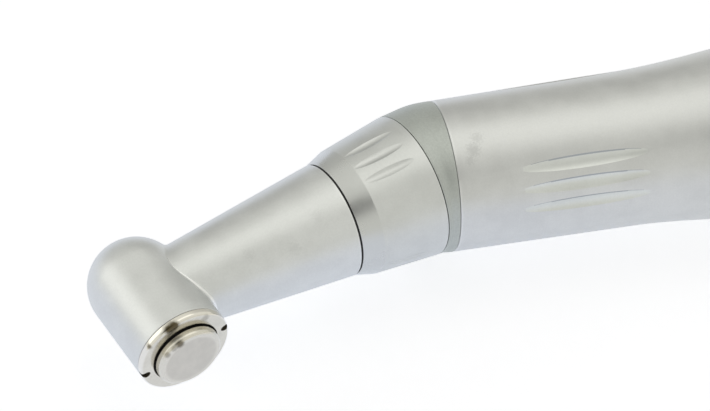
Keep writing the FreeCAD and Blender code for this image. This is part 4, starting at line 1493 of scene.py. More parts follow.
@dataclass
class Elbow(SubAssembly):
    """Wedge between sleeve and lock ring, with a spigot along each axis.

    Attributes:
        edge, rows: How far its two edges are drawn in, and the rows along the plain wall.
        edge_rows: Shares of its length where that has eased and where the plain wall begins.
        edge_ease: Share of the drawing in that is left at the first of them.
        rear_spigot, front_spigot, tube_bore: Radius and heights of the spigots and the bore.
        rear_cavity, front_cavity: Radius and start of the cavities ahead of that bore.
        pin: Radius and height of the stop pin's hole.
        crown: How strongly the wall sets off square to the wedge's two ends.
    """

    handle_r: float = 7.75
    ring_r: float = 7.55
    edge: float = 0.05
    edge_rows: Span = (0.012, 0.03)
    edge_ease: float = 0.3
    rear_spigot: Triple = (6.29, 48.0, 60.1)
    front_spigot: Triple = (5.2, 0.0, 9.35)
    tube_bore: Triple = (4.61, 40.0, 57.2)
    rear_cavity: Span = (4.0, 50.0)
    front_cavity: Span = (4.22, -2.5)
    pin: Span = (0.41, 4.2)
    crown: float = 1.5
    rows: int = 14

    def build(self) -> None:
        """Builds the elbow body."""
        handle, neck = LAYOUT.handle, LAYOUT.neck
        cross = Axis(neck.point(0, 0, self.pin[1]), -neck.side, neck.along)
        meeting, front = LAYOUT.handle_length + LAYOUT.elbow_ahead, self.front_spigot[2] + OVER
        self.pieces["elbow_body"] = worked(
            self.wedge(),
            (Cut.JOIN, rod("rear_spigot", handle, *self.rear_spigot, MEDIUM)),
            (Cut.JOIN, rod("front_spigot", neck, *self.front_spigot, MEDIUM)),
            (Cut.AWAY, rod("tube_bore", handle, *self.tube_bore)),
            (Cut.AWAY, rod("rear_cavity", handle, *self.rear_cavity, meeting)),
            (Cut.AWAY, rod("front_cavity", neck, *self.front_cavity, front)),
            (Cut.AWAY, rod("pin_hole", cross, self.pin[0], 0, self.front_spigot[0] + OVER, SMALL)))

    def wedge(self) -> Piece:
        """Makes the crowned wedge between sleeve and lock ring.

        Returns:
            The wedge's object.
        """
        handle, neck, half_seam = LAYOUT.handle, LAYOUT.neck, LAYOUT.gap / 2
        rear_z, front_z = LAYOUT.handle_length + half_seam, LAYOUT.ring_rear - half_seam
        skin = Skin()

        def place(turn: float, share: float, inset: float) -> Vector:
            """Finds a point of the wall.

            Args:
                turn: Its turn.
                share: Its share of the way from rear to front.
                inset: How far it is drawn in.

            Returns:
                The point.
            """
            start = handle.polar(self.handle_r - inset, turn, rear_z)
            end = neck.polar(self.ring_r - inset, turn, front_z)
            pull = (end - start).length * self.crown
            rise = (handle.along * (share * (1 - share) ** 2)
                    - neck.along * (share ** 2 * (1 - share)))
            return start.lerp(end, share * share * (3 - 2 * share)) + rise * pull

        first, plain = self.edge_rows
        eased = self.edge * self.edge_ease
        levels = [(0.0, self.edge), (first, eased),
                  *((plain + (1 - 2 * plain) * i / self.rows, 0.0) for i in range(self.rows + 1)),
                  (1 - first, eased), (1.0, self.edge)]
        turns = even_turns(FINE)
        rows = [skin.row([handle.point(0, 0, rear_z)]),
                *(skin.row(place(turn, share, inset) for turn in turns) for share, inset in levels),
                skin.row([neck.point(0, 0, front_z)])]
        skin.bands(rows)
        return skin.solid("elbow")

    def dress(self) -> None:
        """Gives the elbow its finer, brushed satin."""
        finish = SatinSteel("brushed_elbow", LAYOUT.neck, color=(0.53, 0.555, 0.53), roughness=0.5,
                            turning=0.35, grain_tint=0.12, relief=0.005)
        self.stand_in("elbow_body", "housing", Slot.SATIN, finish)


@dataclass
class LockRing(SubAssembly):
    """Fluted twist ring between elbow and neck, and the seal ahead of it.

    Attributes:
        edge_r: Outer radius at the crisp edge.
        bore_end: Height where the bore ends.
        chamber_r: Radius of the chamber that the bayonet's lugs lie in.
        lip_bore_r, lip_rear: Radius of the front lip's bore and the height where it begins.
        lugs, notch_half_deg: How many notches let the lugs through, and half their width.
        stop, stop_deg: Radius and heights of the stop pin's slot, its turn and half its width.
        flute: Length, width and depth of a flute.
        flute_mid, flute_deg: Height of a flute's middle, and turn of the first group.
        seal: Outer and inner radius and two heights of the seal.
    """

    rear_r: float = 7.55
    edge_r: float = 6.72
    front_r: float = 6.0
    seam_edge: float = 0.12
    front_edge: float = 0.04
    bore_r: float = 5.22
    bore_end: float = 9.35
    chamber_r: float = 5.5
    lip_bore_r: float = 4.72
    lip_rear: float = 10.45
    lugs: int = 3
    notch_half_deg: float = 25.0
    stop: Triple = (5.75, 3.77, 4.63)
    stop_deg: Span = (150.0, 34.7)
    flute: Triple = (5.6, 1.05, 0.165)
    flute_mid: float = 6.1
    flute_deg: float = 87.5
    seal: Four = (5.9, 4.66, 11.11, 11.275)

    def build(self) -> None:
        """Builds the ring and the seal."""
        neck, start, edge = LAYOUT.neck, LAYOUT.ring_rear, LAYOUT.ring_edge
        rear, front = start + LAYOUT.gap / 2, LAYOUT.ring_front
        slope = (self.rear_r - self.edge_r) / (edge - start)
        grip = Grip(length=self.flute[0], width=self.flute[1], depth=self.flute[2],
                    middle=self.flute_mid, radius=self.rear_r - slope * (self.flute_mid - start),
                    first_deg=self.flute_deg)
        points = outline(
            (self.bore_r, rear), (self.rear_r, rear, self.seam_edge), (self.edge_r, edge, CRISP),
            (self.front_r, front, self.front_edge), (self.lip_bore_r, front),
            (self.lip_bore_r, self.lip_rear), (self.chamber_r, self.lip_rear),
            (self.chamber_r, self.bore_end), (self.bore_r, self.bore_end))
        run = max(range(len(points) - 1), key=lambda i: points[i + 1][1] - points[i][1])
        ring = turned("twist_ring", neck, with_rows(points, run, grip.levels()), grip)
        notches = [(Cut.AWAY, prism("notch", neck, pie(self.chamber_r, (i + 0.5) * 360 / self.lugs,
                                                       self.notch_half_deg),
                                    self.lip_rear - 2 * LAYOUT.seat, front + OVER))
                   for i in range(self.lugs)]
        radius, low, high = self.stop
        stop = prism("stop_slot", neck, pie(radius, *self.stop_deg), low, high)
        self.pieces["lock_ring"] = worked(ring, *notches, (Cut.AWAY, stop))
        outer, inner, low, high = self.seal
        self.pieces["neck_seal"] = turned("neck_gasket", neck, outline(
            (inner, low), (outer, low, BROKEN), (outer, high, BROKEN), (inner, high)))

    def dress(self) -> None:
        """Gives ring and seal their finishes."""
        finish = SatinSteel("satin_ring", LAYOUT.neck, color=(0.66, 0.67, 0.66),
                            edges=(LAYOUT.ring_rear + WORN_IN,), edge_width=WORN_WIDE,
                            smooth_from=LAYOUT.ring_edge)
        self.stand_in("lock_ring", "lock_ring", Slot.SATIN, finish)
        self.stand_in("neck_seal", "housing", Slot.SEAL, SealRubber())


@dataclass
class NeckAndHead(SubAssembly):
    """Tapered neck and domed head in one piece, with a rounded crease.

    Attributes:
        rear_r, tip_r: Radius of the neck's cone at its rear and on the bur's axis.
        land, spigot: Radius and rear height of the land behind the cone and of the spigot.
        lug, lugs: Radius, heights and half the width in degrees of a bayonet lug, and how many.
        polished: Middle row of the crease's band of polish and painted highlight, and the rows
            on each side of it.
        highlight_deg: Turns up to which that painted highlight is whole, and where it has run out.
        dome, flat, seam: Heights where the dome begins and ends, and of the seam under the cap.
        cavity: Outline of the head's inside.
        columns, half_window: Columns round the head, and on each side of the neck's window in it.
        window: Lower and upper end of that window.
        side_rows, dome_rows: Rows along the window and below it.
        head_ease: How much closer the rows on the head lie beside the crease.
        search: How far back from the bur's axis the rolled ball is looked for, and in how many
            halvings.
    """

    rear_r: float = 6.0
    tip_r: float = 3.9
    seam_edge: float = 0.08
    land: Span = (4.65, 9.4)
    spigot: Span = (4.2, 2.6)
    bore_r: float = 3.22
    lug: Four = (5.4, 9.5, 10.35, 22.0)
    lugs: int = 3
    crease_r: float = 0.45
    polished: Span = (5.0, 4.0)
    highlight_deg: Span = (50.0, 105.0)
    head_r: float = 4.87
    dome: float = -2.24
    flat: float = -6.75
    seam: float = 6.56
    seam_trim: float = 0.06
    cavity: tuple[Point, ...] = (
        (4.26, 6.56), (4.26, 3.55), (4.1, 3.55), (4.1, -3.45), (3.01, -3.45),
        (3.01, -5.2), (2.41, -5.2), (2.41, -5.7), (1.66, -5.7), (1.66, -6.75))
    columns: int = MEDIUM
    half_window: int = 35
    window: Span = (-6.3, 6.3)
    side_rows: int = 56
    dome_rows: int = 8
    head_ease: float = 1.25
    search: tuple[float, int] = (10.0, 40)

    @property
    def cone_start(self) -> float:
        """Height where the neck's cone begins, ahead of its rounded edge."""
        return LAYOUT.neck_face + self.seam_edge

    @property
    def taper(self) -> float:
        """How much the cone's radius shrinks to the millimetre."""
        return (self.rear_r - self.tip_r) / (LAYOUT.neck_length - self.cone_start)

    def cone_r(self, z: float) -> float:
        """Radius of the neck's cone at a height on its axis."""
        return self.rear_r - self.taper * (z - self.cone_start)

    def head_clear(self, point: Vector) -> float:
        """Distance of a point from the head's outside."""
        x, y, z = LAYOUT.head.local(point)
        return math.hypot(x, y, min(0.0, z - self.dome)) - self.head_r

    def rim(self, run: float) -> Point:
        """Radius and height on the head's outside, for a run down its wall and round its dome."""
        turn = max(0.0, self.dome - run) / self.head_r
        return self.head_r * math.cos(turn), max(self.dome, run) - self.head_r * math.sin(turn)

    def run_of(self, point: Vector) -> Point:
        """Unrolls the head's outside.

        Args:
            point: A point on it.

        Returns:
            Its turn, and its run down the wall and round the dome.
        """
        x, y, z = LAYOUT.head.local(point)
        turn = math.asin(min(1.0, max(0.0, self.dome - z) / self.head_r))
        return math.atan2(y, x), max(self.dome, z) - self.head_r * turn

    def on_head(self, turn: float, run: float) -> Vector:
        """Point of the head's outside."""
        radius, z = self.rim(run)
        return LAYOUT.head.polar(radius, turn, z)

    def crease(self, turn: float) -> tuple[Vector, Vector, Vector]:
        """Where a ball rolled round the crease stands, and the ways to where it touches.

        Args:
            turn: The ball's turn about the neck, in radians.

        Returns:
            The ball's centre, the way to the cone and the way to the head.
        """
        neck, head = LAYOUT.neck, LAYOUT.head
        lean = math.hypot(1.0, self.taper)
        reach, halvings = self.search
        low, high = LAYOUT.neck_length - reach, LAYOUT.neck_length
        for _ in range(halvings):
            middle = (low + high) / 2
            centre = neck.polar(self.cone_r(middle) + self.crease_r * lean, turn, middle)
            if self.head_clear(centre) > self.crease_r:
                low = middle
            else:
                high = middle
        outward = (neck.side * math.cos(turn) + neck.across * math.sin(turn)
                   + neck.along * self.taper) / lean
        local = head.local(centre)
        local.z = min(0.0, local.z - self.dome)
        inward = -(head.side * local.x + head.across * local.y + head.along * local.z).normalized()
        return centre, -outward, inward

    def border(self) -> list[Point]:
        """Goes round the neck's window.

        Returns:
            Turn and run of its points, in order about the neck.
        """
        low, high = self.window
        step = 2 * math.pi / self.columns
        side = [high + (low - high) * i / self.side_rows for i in range(self.side_rows + 1)]
        w = self.half_window
        points = [(step * i, high) for i in range(w)] + [(step * w, run) for run in side]
        points += [(step * i, low) for i in range(w - 1, -w, -1)]
        points += [(-step * w, run) for run in reversed(side)]
        return points + [(step * i, high) for i in range(-w + 1, 0)]

    def build(self) -> None:
        """Builds the housing."""
        skin = Skin()
        self.neck_rows(skin)
        self.head_rows(skin)
        housing = skin.solid("neck_and_head", weld=True)
        neck = LAYOUT.neck
        radius, low, high, half = self.lug
        lugs = [(Cut.JOIN, prism("lug", neck, pie(radius, i * 360 / self.lugs, half), low, high))
                for i in range(self.lugs)]
        bore = rod("neck_bore", neck, self.bore_r, 0, LAYOUT.neck_length - self.bore_r / 2)
        self.pieces["head_housing"] = worked(housing, *lugs, (Cut.AWAY, bore))

    def neck_rows(self, skin: Skin, cone_rows: int = 20, crease_rows: int = 10,
                  head_rows: int = 16) -> None:
        """Adds the spigot, the cone, the crease and the head's outside up to the window.

        Args:
            skin: The piece's skin.
            cone_rows: Rows along the cone.
            crease_rows: Rows across the crease.
            head_rows: Rows from the crease to the window.
        """
        neck, border, face = LAYOUT.neck, self.border(), LAYOUT.neck_face
        corners = [neck.local(self.on_head(*p)) for p in border]
        turns = [math.atan2(c.y, c.x) for c in corners]
        (thin, rear), (land, step) = self.spigot, self.land
        stock = outline((0, rear), (thin, rear, BROKEN), (thin, step), (land, step), (land, face),
                        (self.rear_r, face, self.seam_edge), (self.cone_r(face + 1), face + 1),
                        closed=False)[:-1]
        rows = [skin.row([neck.point(0, 0, z)] if r == 0 else [neck.polar(r, t, z) for t in turns])
                for r, z in stock]
        start = stock[-1][1]
        balls = [self.crease(t) for t in turns]
        feet = [neck.local(centre + to_cone * self.crease_r).z for centre, to_cone, _ in balls]
        for i in range(1, cone_rows):
            heights = [start + (foot - start) * i / cone_rows for foot in feet]
            rows.append(skin.row(neck.polar(self.cone_r(z), t, z) for t, z in zip(turns, heights)))
        for i in range(crease_rows + 1):
            rows.append(skin.row(centre + u.slerp(v, i / crease_rows) * self.crease_r
                                 for centre, u, v in balls))
        loop = [self.run_of(centre + v * self.crease_r) for centre, _, v in balls]
        for i in range(1, head_rows + 1):
            share = (i / head_rows) ** self.head_ease
            rows.append(skin.row(self.on_head(*(p + (q - p) * share for p, q in zip(a, b)))
                                 for a, b in zip(loop, border)))
        first = len(stock) + cone_rows - 1
        # The crease's band is painted bright as a highlight over its polish, fading out with the
        # turn about the neck.
        skin.bands(rows, finish=lambda k, i: int(self.polish_and_highlight(k - first, turns[i])))

    def polish_and_highlight(self, row: int, turn: float) -> bool:
        """Whether the crease is painted bright at a place, as a highlight over its polish.

        Args:
            row: The row across it.
            turn: The turn about the neck, in radians.

        Returns:
            Whether it is.
        """
        middle, half = self.polished
        full, none = self.highlight_deg
        share = (none - abs(math.degrees(turn))) / (none - full)
        return abs(row + 0.5 - middle) < half * min(1.0, max(0.0, share))

    def head_rows(self, skin: Skin) -> None:
        """Adds the head's outside round the window, its rim and its cavity.

        Args:
            skin: The piece's skin.
        """
        low, high = self.window
        last = self.dome - self.head_r * math.asin((self.dome - self.flat) / self.head_r)
        runs = [last + (low - last) * i / self.dome_rows for i in range(self.dome_rows)]
        first = len(runs)
        runs += [high + (low - high) * i / self.side_rows for i in range(self.side_rows, -1, -1)]
        wall = [self.rim(run) for run in runs]
        top = outline((self.head_r, high), (self.head_r, self.seam, self.seam_trim), self.cavity[0],
                      closed=False)[1:-1]
        rows = [skin.row(LAYOUT.head.polar(r, turn, z) for turn in even_turns(self.columns))
                for r, z in [*wall, *top, *self.cavity]]
        window = range(self.half_window, self.columns - self.half_window)
        skin.bands(rows, closed=True,
                   skip=lambda k, i: first <= k < first + self.side_rows and i not in window)

    def dress(self) -> None:
        """Gives the housing its satin finish."""
        smudges = marks_on(LAYOUT.neck, (42, 5.34, 18.0, 1.0, 0.16), (56, 4.88, 22.5, 0.9, 0.14),
                           (63, 5.6, 14.5, 0.9, 0.12))
        finish = SatinSteel("satin_head", LAYOUT.neck, color=(0.71, 0.72, 0.715), roughness=0.42,
                            turning=0.1, smudges=smudges, edges=(LAYOUT.neck_face + WORN_IN,),
                            edge_width=WORN_WIDE)
        # Painted highlight: the crease is painted much lighter than the head, over its real polish.
        crease = SatinSteel("satin_crease", LAYOUT.neck, color=(0.95, 0.955, 0.95), metallic=0.7,
                            roughness=0.26, turning=0.1)
        self.stand_in("head_housing", "housing", Slot.SATIN, finish, crease)


@dataclass
class CapAndButton(SubAssembly):
    """Screwed cap, the button that it keeps in and the seal at the bur's side.

    Attributes:
        cap_seam, skirt: Heights of the seam under the cap and of the end of its thread.
        lip_r, lip_bottom: Radius of its bore round the button, and where that bore ends.
        race: Radius and upper height of its seat for the bearing.
        spanner: Half the length outwards, half the width, distance from the axis and turn in
            degrees of its two spanner holes.
        spanner_deep, spanner_steps: Their depth and the corners of their oval.
        rim, button_neck_r: Height of the button's lower rim and radius of the waist under it.
        flange: Radius and two heights of the flange that the cap keeps in.
        hollow: Lower height, two radii and upper height of the hollow that works the latch.
        seal: Outer and inner radius and two heights of the seal.
        wall: How far the gap's painted shade reaches beyond its walls, aside and under the face.
    """

    head_r: float = 4.87
    cap_top: float = 7.37
    cap_edge: float = 0.45
    cap_seam: float = 6.61
    seam_edge: float = 0.04
    lip_r: float = 3.56
    lip_bottom: float = 7.0
    bore_r: float = 3.82
    thread_r: float = 4.25
    skirt: float = 3.6
    race: Point = (3.31, 5.35)
    spanner: Four = (0.45, 0.34, 4.49, 12.0)
    spanner_deep: float = 0.42
    spanner_steps: int = 64
    button_top: float = 8.45
    button_r: float = 3.45
    button_edge: float = 0.7
    rim: float = 7.55
    button_neck_r: float = 3.2
    flange: Triple = (3.74, 6.4, 6.94)
    skirt_r: float = 3.3
    hollow: Four = (6.25, 2.9, 2.05, 7.95)
    seal: Four = (2.4, 1.63, -5.69, -5.21)
    wall: Span = (0.02, 0.04)

    def build(self) -> None:
        """Builds cap, button and seal."""
        self.cap()
        self.button()
        outer, inner, low, high = self.seal
        self.pieces["nose_seal"] = turned("bur_side_gasket", LAYOUT.head, outline(
            (inner, low, BROKEN), (outer, low), (outer, high), (inner, high)), Columns(COARSE))

    def cap(self) -> None:
        """Builds the cap with its two spanner holes."""
        axis = LAYOUT.head
        cap = self.pieces["head_cap"] = turned("cap_ring", axis, outline(
            (self.lip_r, self.cap_top, CRISP), (self.head_r, self.cap_top, self.cap_edge),
            (self.head_r, self.cap_seam, self.seam_edge), (self.thread_r, self.cap_seam),
            (self.thread_r, self.skirt, BROKEN), (self.race[0], self.skirt), self.race,
            (self.bore_r, self.race[1]), (self.bore_r, self.lip_bottom),
            (self.lip_r, self.lip_bottom)), Columns(FINE))
        long, wide, reach, turn_deg = self.spanner
        for side in (0.0, math.pi):
            turn = math.radians(turn_deg) + side
            c, s = math.cos(turn), math.sin(turn)
            oval = [(reach + long * math.cos(a), wide * math.sin(a))
                    for a in even_turns(self.spanner_steps)]
            hole = prism("spanner_hole", axis, [(c * x - s * y, s * x + c * y) for x, y in oval],
                         self.cap_top - self.spanner_deep, self.cap_top + OVER)
            worked(cap, (Cut.AWAY, hole))

    def button(self) -> None:
        """Builds the button with its rounded edge, its flange and its hollow."""
        bottom, wide, narrow, web = self.hollow
        radius, low, high = self.flange
        self.pieces["push_button"] = turned("release_button", LAYOUT.head, outline(
            (0, self.button_top), (self.button_r, self.button_top, self.button_edge),
            (self.button_r, self.rim, CRISP), (self.button_neck_r, self.rim),
            (self.button_neck_r, high), (radius, high), (radius, low), (self.skirt_r, low),
            (self.skirt_r, bottom), (wide, bottom), (narrow, web), (0, web), closed=False),
            Columns(FINE), closed=False)

    def dress(self) -> None:
        """Gives cap, button and seal their finishes."""
        axis, top, high = LAYOUT.head, self.cap_top, self.button_top
        *oval, turn = self.spanner
        aside, under = self.wall
        on_cap = marks_on(
            axis, (104, 4.6, top - 0.12, 0.7, 0.8), (109, 4.62, top - 0.14, 0.85, 0.9),
            (115, 4.66, top - 0.16, 0.6, 0.75), (144, 4.78, top - 0.28, 0.4, 0.8),
            (60, 4.3, top, 0.7, 0.35))
        on_button = marks_on(axis, (113, 3.15, high, 0.7, 0.85), (126, 3.2, high, 0.5, 0.4),
                             (142, 3.3, high - 0.1, 0.5, 0.5))
        # The walls round the deep gap are painted black as shade, and the spanner holes dark as
        # shade.
        ring = PolishedNickel("nickel_cap", axis, top=top, split=20.0, gap_r=self.lip_r + aside,
                              gap_z=top - under, holes=(*oval, math.radians(turn)), stains=on_cap)
        face = PolishedNickel(
            "satin_button", axis, top=high, split=self.button_r - self.button_edge,
            gap_r=self.lip_r, gap_z=self.rim + aside, face=(0.605, 0.575, 0.515),
            rim=(0.67, 0.64, 0.57), face_roughness=0.38, rim_roughness=0.27, stains=on_button)
        self.stand_in("head_cap", "housing", Slot.POLISHED, ring)
        self.stand_in("push_button", "button", Slot.POLISHED, face)
        self.stand_in("nose_seal", "housing", Slot.SEAL, SealRubber())


@dataclass
class Chuck(SubAssembly):
    """Hollow spindle that holds the bur.

    Attributes:
        outer: Outer radius below and above the shoulder.
        lower_edge, upper_edge: Rounding of the edge at each end.
        seat, seat_flat: Height of the D-shaped seat and distance of its flat from the axis.
        relief: Radius and lower height of the groove under the seat.
        slot: Half the width and two heights of the latch's slot.
    """

    bore_r: float = 1.19
    outer: Span = (1.6, 1.9)
    ends: Span = (-6.9, 7.0)
    shoulder: float = 3.5
    lower_edge: float = 0.12
    upper_edge: float = 0.06
    seat: float = 4.4
    seat_flat: float = 0.6
    seat_steps: int = 40
    relief: Span = (1.4, 3.8)
    slot: Triple = (1.52, 5.48, 6.22)

    def build(self) -> None:
        """Builds the spindle."""
        axis = LAYOUT.head
        (low, high), (thin, thick) = self.ends, self.outer
        spindle = turned("bur_spindle", axis, outline(
            (0, low), (thin, low, self.lower_edge), (thin, self.shoulder), (thick, self.shoulder),
            (thick, high, self.upper_edge), (0, high), closed=False), Columns(COARSE), closed=False)
        start = math.acos(self.seat_flat / self.bore_r)
        turns = [start + 2 * (math.pi - start) * i / self.seat_steps
                 for i in range(self.seat_steps + 1)]
        seat = [(self.bore_r * math.cos(turn), self.bore_r * math.sin(turn)) for turn in turns]
        half, bottom, top = self.slot
        self.pieces["chuck_spindle"] = worked(
            spindle,
            (Cut.AWAY, rod("bore", axis, self.bore_r, low - OVER, self.seat)),
            (Cut.AWAY, rod("relief", axis, *self.relief, self.seat)),
            (Cut.AWAY, prism("seat", axis, seat, self.seat - LAYOUT.gap, high + OVER)),
            (Cut.AWAY, prism("latch_slot", axis, slab(ACROSS, (-half, half)), bottom, top)))

    def dress(self) -> None:
        """Gives the spindle its ground finish."""
        finish = TurnedMetal("ground_spindle", LAYOUT.head, (0.56, 0.56, 0.56), 0.2, pitch=14.0,
                             relief=0.002)
        self.stand_in("chuck_spindle", "chuck", Slot.MACHINED, finish)


@dataclass
class Springs(SubAssembly):
    """Coil behind the dog and wave ring under the button.

    Attributes:
        coil_r, coil, coil_turns: Radius of the coil's middle line, its two heights and its turns.
        coil_travel, wave_travel: How much shorter each gets with its joint.
        strip: Inner radius, outer radius and thickness of the wave ring's strip.
        wave, waves: Two heights of the wave ring and the waves round it.
    """

    wire: float = 0.35
    coil_r: float = 1.65
    coil: Span = (20.225, 24.225)
    coil_turns: int = 3
    coil_travel: float = 2.5
    strip: Triple = (3.35, 3.77, 0.12)
    wave: Span = (5.4, 6.375)
    waves: int = 3
    wave_travel: float = 0.8
    color: Rgb = (0.42, 0.42, 0.43)

    def build(self) -> None:
        """Builds both springs."""
        self.coil_spring()
        self.wave_ring()

    def coil_spring(self, steps: int = 36, sides: int = 12) -> None:
        """Builds the coil of round wire.

        Args:
            steps: Steps in a turn.
            sides: Sides of the wire's section.
        """
        low, high = self.coil
        thin, total = self.wire / 2, self.coil_turns * steps
        section = [(thin * math.cos(a), thin * math.sin(a)) for a in even_turns(sides)]
        rise = (high - low - self.wire) / total
        way = [(2 * math.pi * i / steps, self.coil_r, low + thin + rise * i)
               for i in range(total + 1)]
        self.pieces["dog_spring"] = carried("dog_coil", LAYOUT.handle, section, way, False)

    def wave_ring(self) -> None:
        """Builds the closed ring of flat strip that waves between two heights."""
        inner, outer, thick = self.strip
        low, high = self.wave
        swing = (high - low - thick) / 2
        way = [(turn, inner, low + swing * (1 + math.cos(self.waves * turn)))
               for turn in even_turns(MEDIUM)]
        section = slab((0, outer - inner), (0, thick))
        self.pieces["button_spring"] = carried("button_wave_ring", LAYOUT.head, section, way, True)

    def dress(self) -> None:
        """Gives both springs their finish and their own copies of their meshes."""
        handle, head = LAYOUT.handle, LAYOUT.head
        self.stand_in("dog_spring", "drive_shaft", Slot.SPRING,
                      TurnedMetal("drawn_dog_spring", handle, self.color))
        self.stand_in("button_spring", "housing", Slot.SPRING,
                      TurnedMetal("drawn_button_spring", head, self.color))
        self.shorten("dog_spring", "dog_slide", handle, self.coil[1], self.coil, self.coil_travel)
        self.shorten("button_spring", "button_press", head, self.wave[0], self.wave,
                     self.wave_travel)

    def shorten(self, node: str, joint: str, axis: Axis, fixed: float, span: Span,
                travel: float) -> None:
        """Gives a spring its own copy of its mesh.

        Args:
            node: The node that the spring stands for.
            joint: The joint that it shortens with.
            axis: The axis that it lies on.
            fixed: Height of its end that stays.
            span: Heights of its two ends.
            travel: How much shorter it gets.
        """
        length = span[1] - span[0]
        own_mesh(self.pieces[node], joint, axis=tuple(axis.along),
                  anchor=tuple(axis.point(0, 0, fixed) * MM), keep=(length - travel) / length)


@dataclass
class Works(SubAssembly):
    """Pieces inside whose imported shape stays: gears, races, bushes and small turned parts.

    Attributes:
        frame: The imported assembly.
        gear, race, bronze, plain: Colours of gears, races, bushes and the rest.
    """

    frame: Mapping[str, object] = field(default_factory=dict)
    gear: Rgb = (0.47, 0.47, 0.475)
    race: Rgb = (0.62, 0.62, 0.62)
    bronze: Rgb = (0.60, 0.41, 0.2)
    plain: Rgb = (0.55, 0.55, 0.55)

    def build(self) -> None:
        """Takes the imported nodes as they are."""
        self.pieces.update(self.frame["nodes"])

    def dress(self) -> None:
        """Gives the kept nodes their finishes."""
        handle, neck, head = LAYOUT.handle, LAYOUT.neck, LAYOUT.head
        for finish, *nodes in (
                (TurnedMetal("lapped_drive_gear", handle, self.gear, 0.28), "drive_gear"),
                (TurnedMetal("lapped_neck_gears", neck, self.gear, 0.28), "neck_rear_gear",
                 "neck_pinion"),
                (TurnedMetal("lapped_chuck_gear", head, self.gear, 0.28), "chuck_gear"),
                (TurnedMetal("ground_races", head, self.race, 0.12, pitch=16.0, relief=0.001),
                 "lower_inner_race", "lower_outer_race", "upper_inner_race", "upper_outer_race"),
                # Painted shade: these bushes are painted darker where they lie deep in the motor's
                # bore.
                (TurnedMetal("handle_bronze", handle, self.bronze, 0.34, bore_shade=LAYOUT.bore_shade),
                 "drive_rear_bush", "drive_front_bush"),
                (TurnedMetal("neck_bronze", neck, self.bronze, 0.34), "neck_rear_bush",
                 "neck_front_bush"),
                (TurnedMetal("turned_neck_parts", neck, self.plain), "neck_shaft", "neck_nut",
                 "neck_spacer", "ring_stop_pin"),
                (TurnedMetal("ground_latch", head, self.plain, 0.22), "latch_slide"),
                (TurnedMetal("ground_pin", handle, self.plain, 0.2), "dog_pin")):
            for node in nodes:
                self.paint(self.pieces[node], finish)
                LOG.info("%s: kept, %s", node, finish.name)


# ---- studio
@dataclass(frozen=True)
class Lamp:
    """A soft rectangular lamp.

    Attributes:
        name: The lamp's name.
        way: Direction from the handpiece to the lamp.
        reach: Distance of the lamp in metres.
        size: Width and height in metres.
        power: Power in watts.
        color: Its colour.
    """

    name: str
    way: Triple
    reach: float
    size: Span
    power: float
    color: Rgb

    def hang(self, target: Vector) -> None:
        """Hangs the lamp.

        Args:
            target: The place that it points at, in metres.
        """
        data = bpy.data.lights.new(self.name, "AREA")
        data.shape, data.size, data.size_y = "RECTANGLE", *self.size
        data.energy, data.color = self.power, self.color
        lamp = bpy.data.objects.new(self.name, data)
        way = Vector(self.way).normalized()
        lamp.location = target + way * self.reach
        lamp.rotation_euler = way.to_track_quat("Z", "Y").to_euler()
        bpy.context.scene.collection.objects.link(lamp)


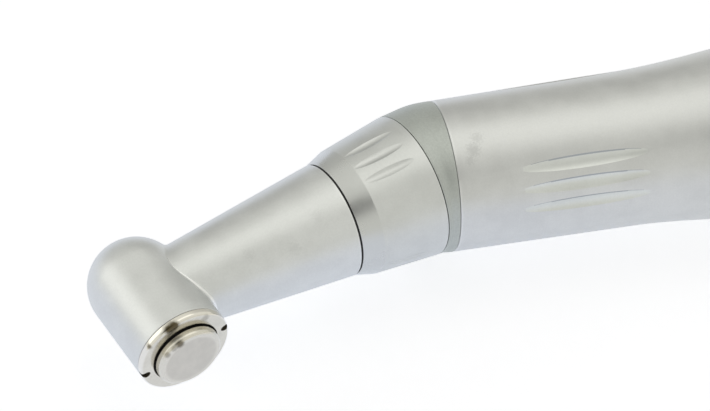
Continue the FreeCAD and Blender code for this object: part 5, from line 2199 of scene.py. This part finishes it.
@dataclass
class Studio:
    """Floor, soft light and camera.

    Attributes:
        eye, right, up: Where the camera stands, and its own right and up.
        clip: Nearest and farthest distance that it shows, in metres.
        floor_half, floor_below: Half the floor's width and its distance below, in metres.
        floor_shade, floor_cloud: Shade of the floor's tint that its clouding reaches.
        floor_lift: How bright the floor is where it is seen.
        floor_mirrored, floor_far: How bright it is mirrored under the head and the handle.
        floor_fade: Place along the handle where one becomes the other.
        ambient, warmth: Strength and colour of the surroundings as light.
        mirrored: Their strength where they are mirrored.
        back_dark, back_y, back_z: How much darker they are mirrored low behind the handpiece,
            and the parts of a direction between which that comes and goes.
        front_dark, front_way, front_round: The same for a round patch ahead.
    """

    eye: Triple = (-134.934, -227.637, 262.454)
    right: Triple = (0.97133, -0.23450, 0.04058)
    up: Triple = (0.14876, 0.73138, 0.66555)
    lens: float = 177.46
    sensor: float = 36.0
    clip: Span = (0.005, 20.0)
    floor_half: float = 4.0
    floor_below: float = 0.00005
    floor_tint: Rgb = (0.85, 0.85, 0.86)
    floor_shade: float = 0.99
    floor_cloud: Noise = Noise(0.004)
    floor_roughness: float = 0.9
    floor_lift: float = 0.6
    floor_mirrored: Rgb = (0.56, 0.6, 0.68)
    floor_far: Rgb = (0.64, 0.64, 0.60)
    floor_fade: Span = (-70.0, 20.0)
    ambient: float = 0.4
    warmth: Rgb = (1.0, 1.0, 0.93)
    mirrored: float = 0.91
    back_dark: float = 0.34
    back_y: Span = (0.3, 0.95)
    back_z: Span = (0.4, 0.85)
    front_dark: float = 0.85
    front_way: Triple = (-0.2, -0.635, 0.745)
    front_round: Span = (0.93, 0.995)
    lamps: tuple[Lamp, ...] = (
        Lamp("overhead", (0.26, 0.15, 0.95), 0.7, (0.5, 0.5), 0.36, (1.0, 1.0, 0.96)),
        Lamp("side", (-0.85, 0.3, 0.42), 0.7, (0.42, 0.42), 0.38, (1.0, 1.0, 0.97)),
    )

    def build(self) -> None:
        """Sets up floor, lamps, world and camera."""
        low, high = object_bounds()
        self.floor(low.z - self.floor_below)
        for lamp in self.lamps:
            lamp.hang((low + high) / 2)
        self.world()
        self.camera()
        bpy.context.scene.view_settings.view_transform = "Standard"
        LOG.info("studio: %d lamps", len(self.lamps))

    def floor(self, z: float) -> None:
        """Lays the plain pale floor.

        Args:
            z: Its height in metres.
        """
        mesh, sides = bpy.data.meshes.new("floor"), (-self.floor_half, self.floor_half)
        mesh.from_pydata([(x, y, z) for x, y in slab(sides, sides)], [], [(0, 1, 2, 3)])
        floor = bpy.data.objects.new("floor", mesh)
        bpy.context.scene.collection.objects.link(floor)
        graph = Graph.named("pale_floor")
        place = graph.place
        cloud = self.floor_cloud.over(place)
        tint = graph.blend(cloud, shaded(self.floor_tint, self.floor_shade), self.floor_tint)
        plain, mirror = graph.rays()
        away = graph.vector("DOT_PRODUCT", place, Vector((1, 0, 0)))
        mirrored = graph.blend(away.within(*self.floor_fade), self.floor_mirrored, self.floor_far)
        glow = graph.blend(mirror, shaded(WHITE, self.floor_lift), mirrored)
        glow = graph.blend(plain + mirror, BLACK, glow)
        mesh.materials.append(graph.close(tint, 0.0, self.floor_roughness, Specular_IOR_Level=0.0,
                                          Emission_Color=glow, Emission_Strength=1.0))
        floor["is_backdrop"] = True

    def world(self) -> None:
        """White surroundings: full strength where they are seen or mirrored, lower as light."""
        world = bpy.data.worlds.new("surroundings")
        bpy.context.scene.world = world
        graph = Graph(world)
        plain, mirror = graph.rays()
        way = graph.wire("ShaderNodeTexCoord", output="Generated")
        parts = graph.add("ShaderNodeSeparateXYZ", {}, {0: way})
        _, y, z = (Wire(graph, output) for output in parts.outputs)
        back = y.within(*self.back_y) * (1 - z.within(*self.back_z))
        front = graph.vector("DOT_PRODUCT", way, Vector(self.front_way))
        mirrored = (self.mirrored - back * self.back_dark
                    - front.within(*self.front_round) * self.front_dark)
        strength = plain + mirror * mirrored + (1 - plain - mirror) * self.ambient
        sky = graph.wire("ShaderNodeBackground", {}, {
            "Color": graph.blend(mirror, WHITE, self.warmth), "Strength": strength})
        graph.add("ShaderNodeOutputWorld", {}, {"Surface": sky})

    def camera(self) -> None:
        """Puts up the camera."""
        data = bpy.data.cameras.new("camera")
        data.sensor_fit, data.sensor_width, data.lens = "HORIZONTAL", self.sensor, self.lens
        data.clip_start, data.clip_end = self.clip
        camera = bpy.data.objects.new("camera", data)
        right, up = Vector(self.right).normalized(), Vector(self.up).normalized()
        back = right.cross(up)
        turn = Matrix((right, up, back)).transposed().to_4x4()
        camera.matrix_world = Matrix.Translation(Vector(self.eye) * MM) @ turn
        bpy.context.scene.collection.objects.link(camera)
        bpy.context.scene.camera = camera


def main() -> None:
    """Builds the sub-assemblies in order."""
    logging.basicConfig(level=logging.INFO, format="%(name)s: %(message)s")
    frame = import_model()
    for group in (Handle(), Coupling(), Elbow(), LockRing(), NeckAndHead(), CapAndButton(), Chuck(),
                  Springs(), Works(frame=frame)):
        group.build()
        group.dress()
    Studio().build()


if __name__ == "__main__":
    main()
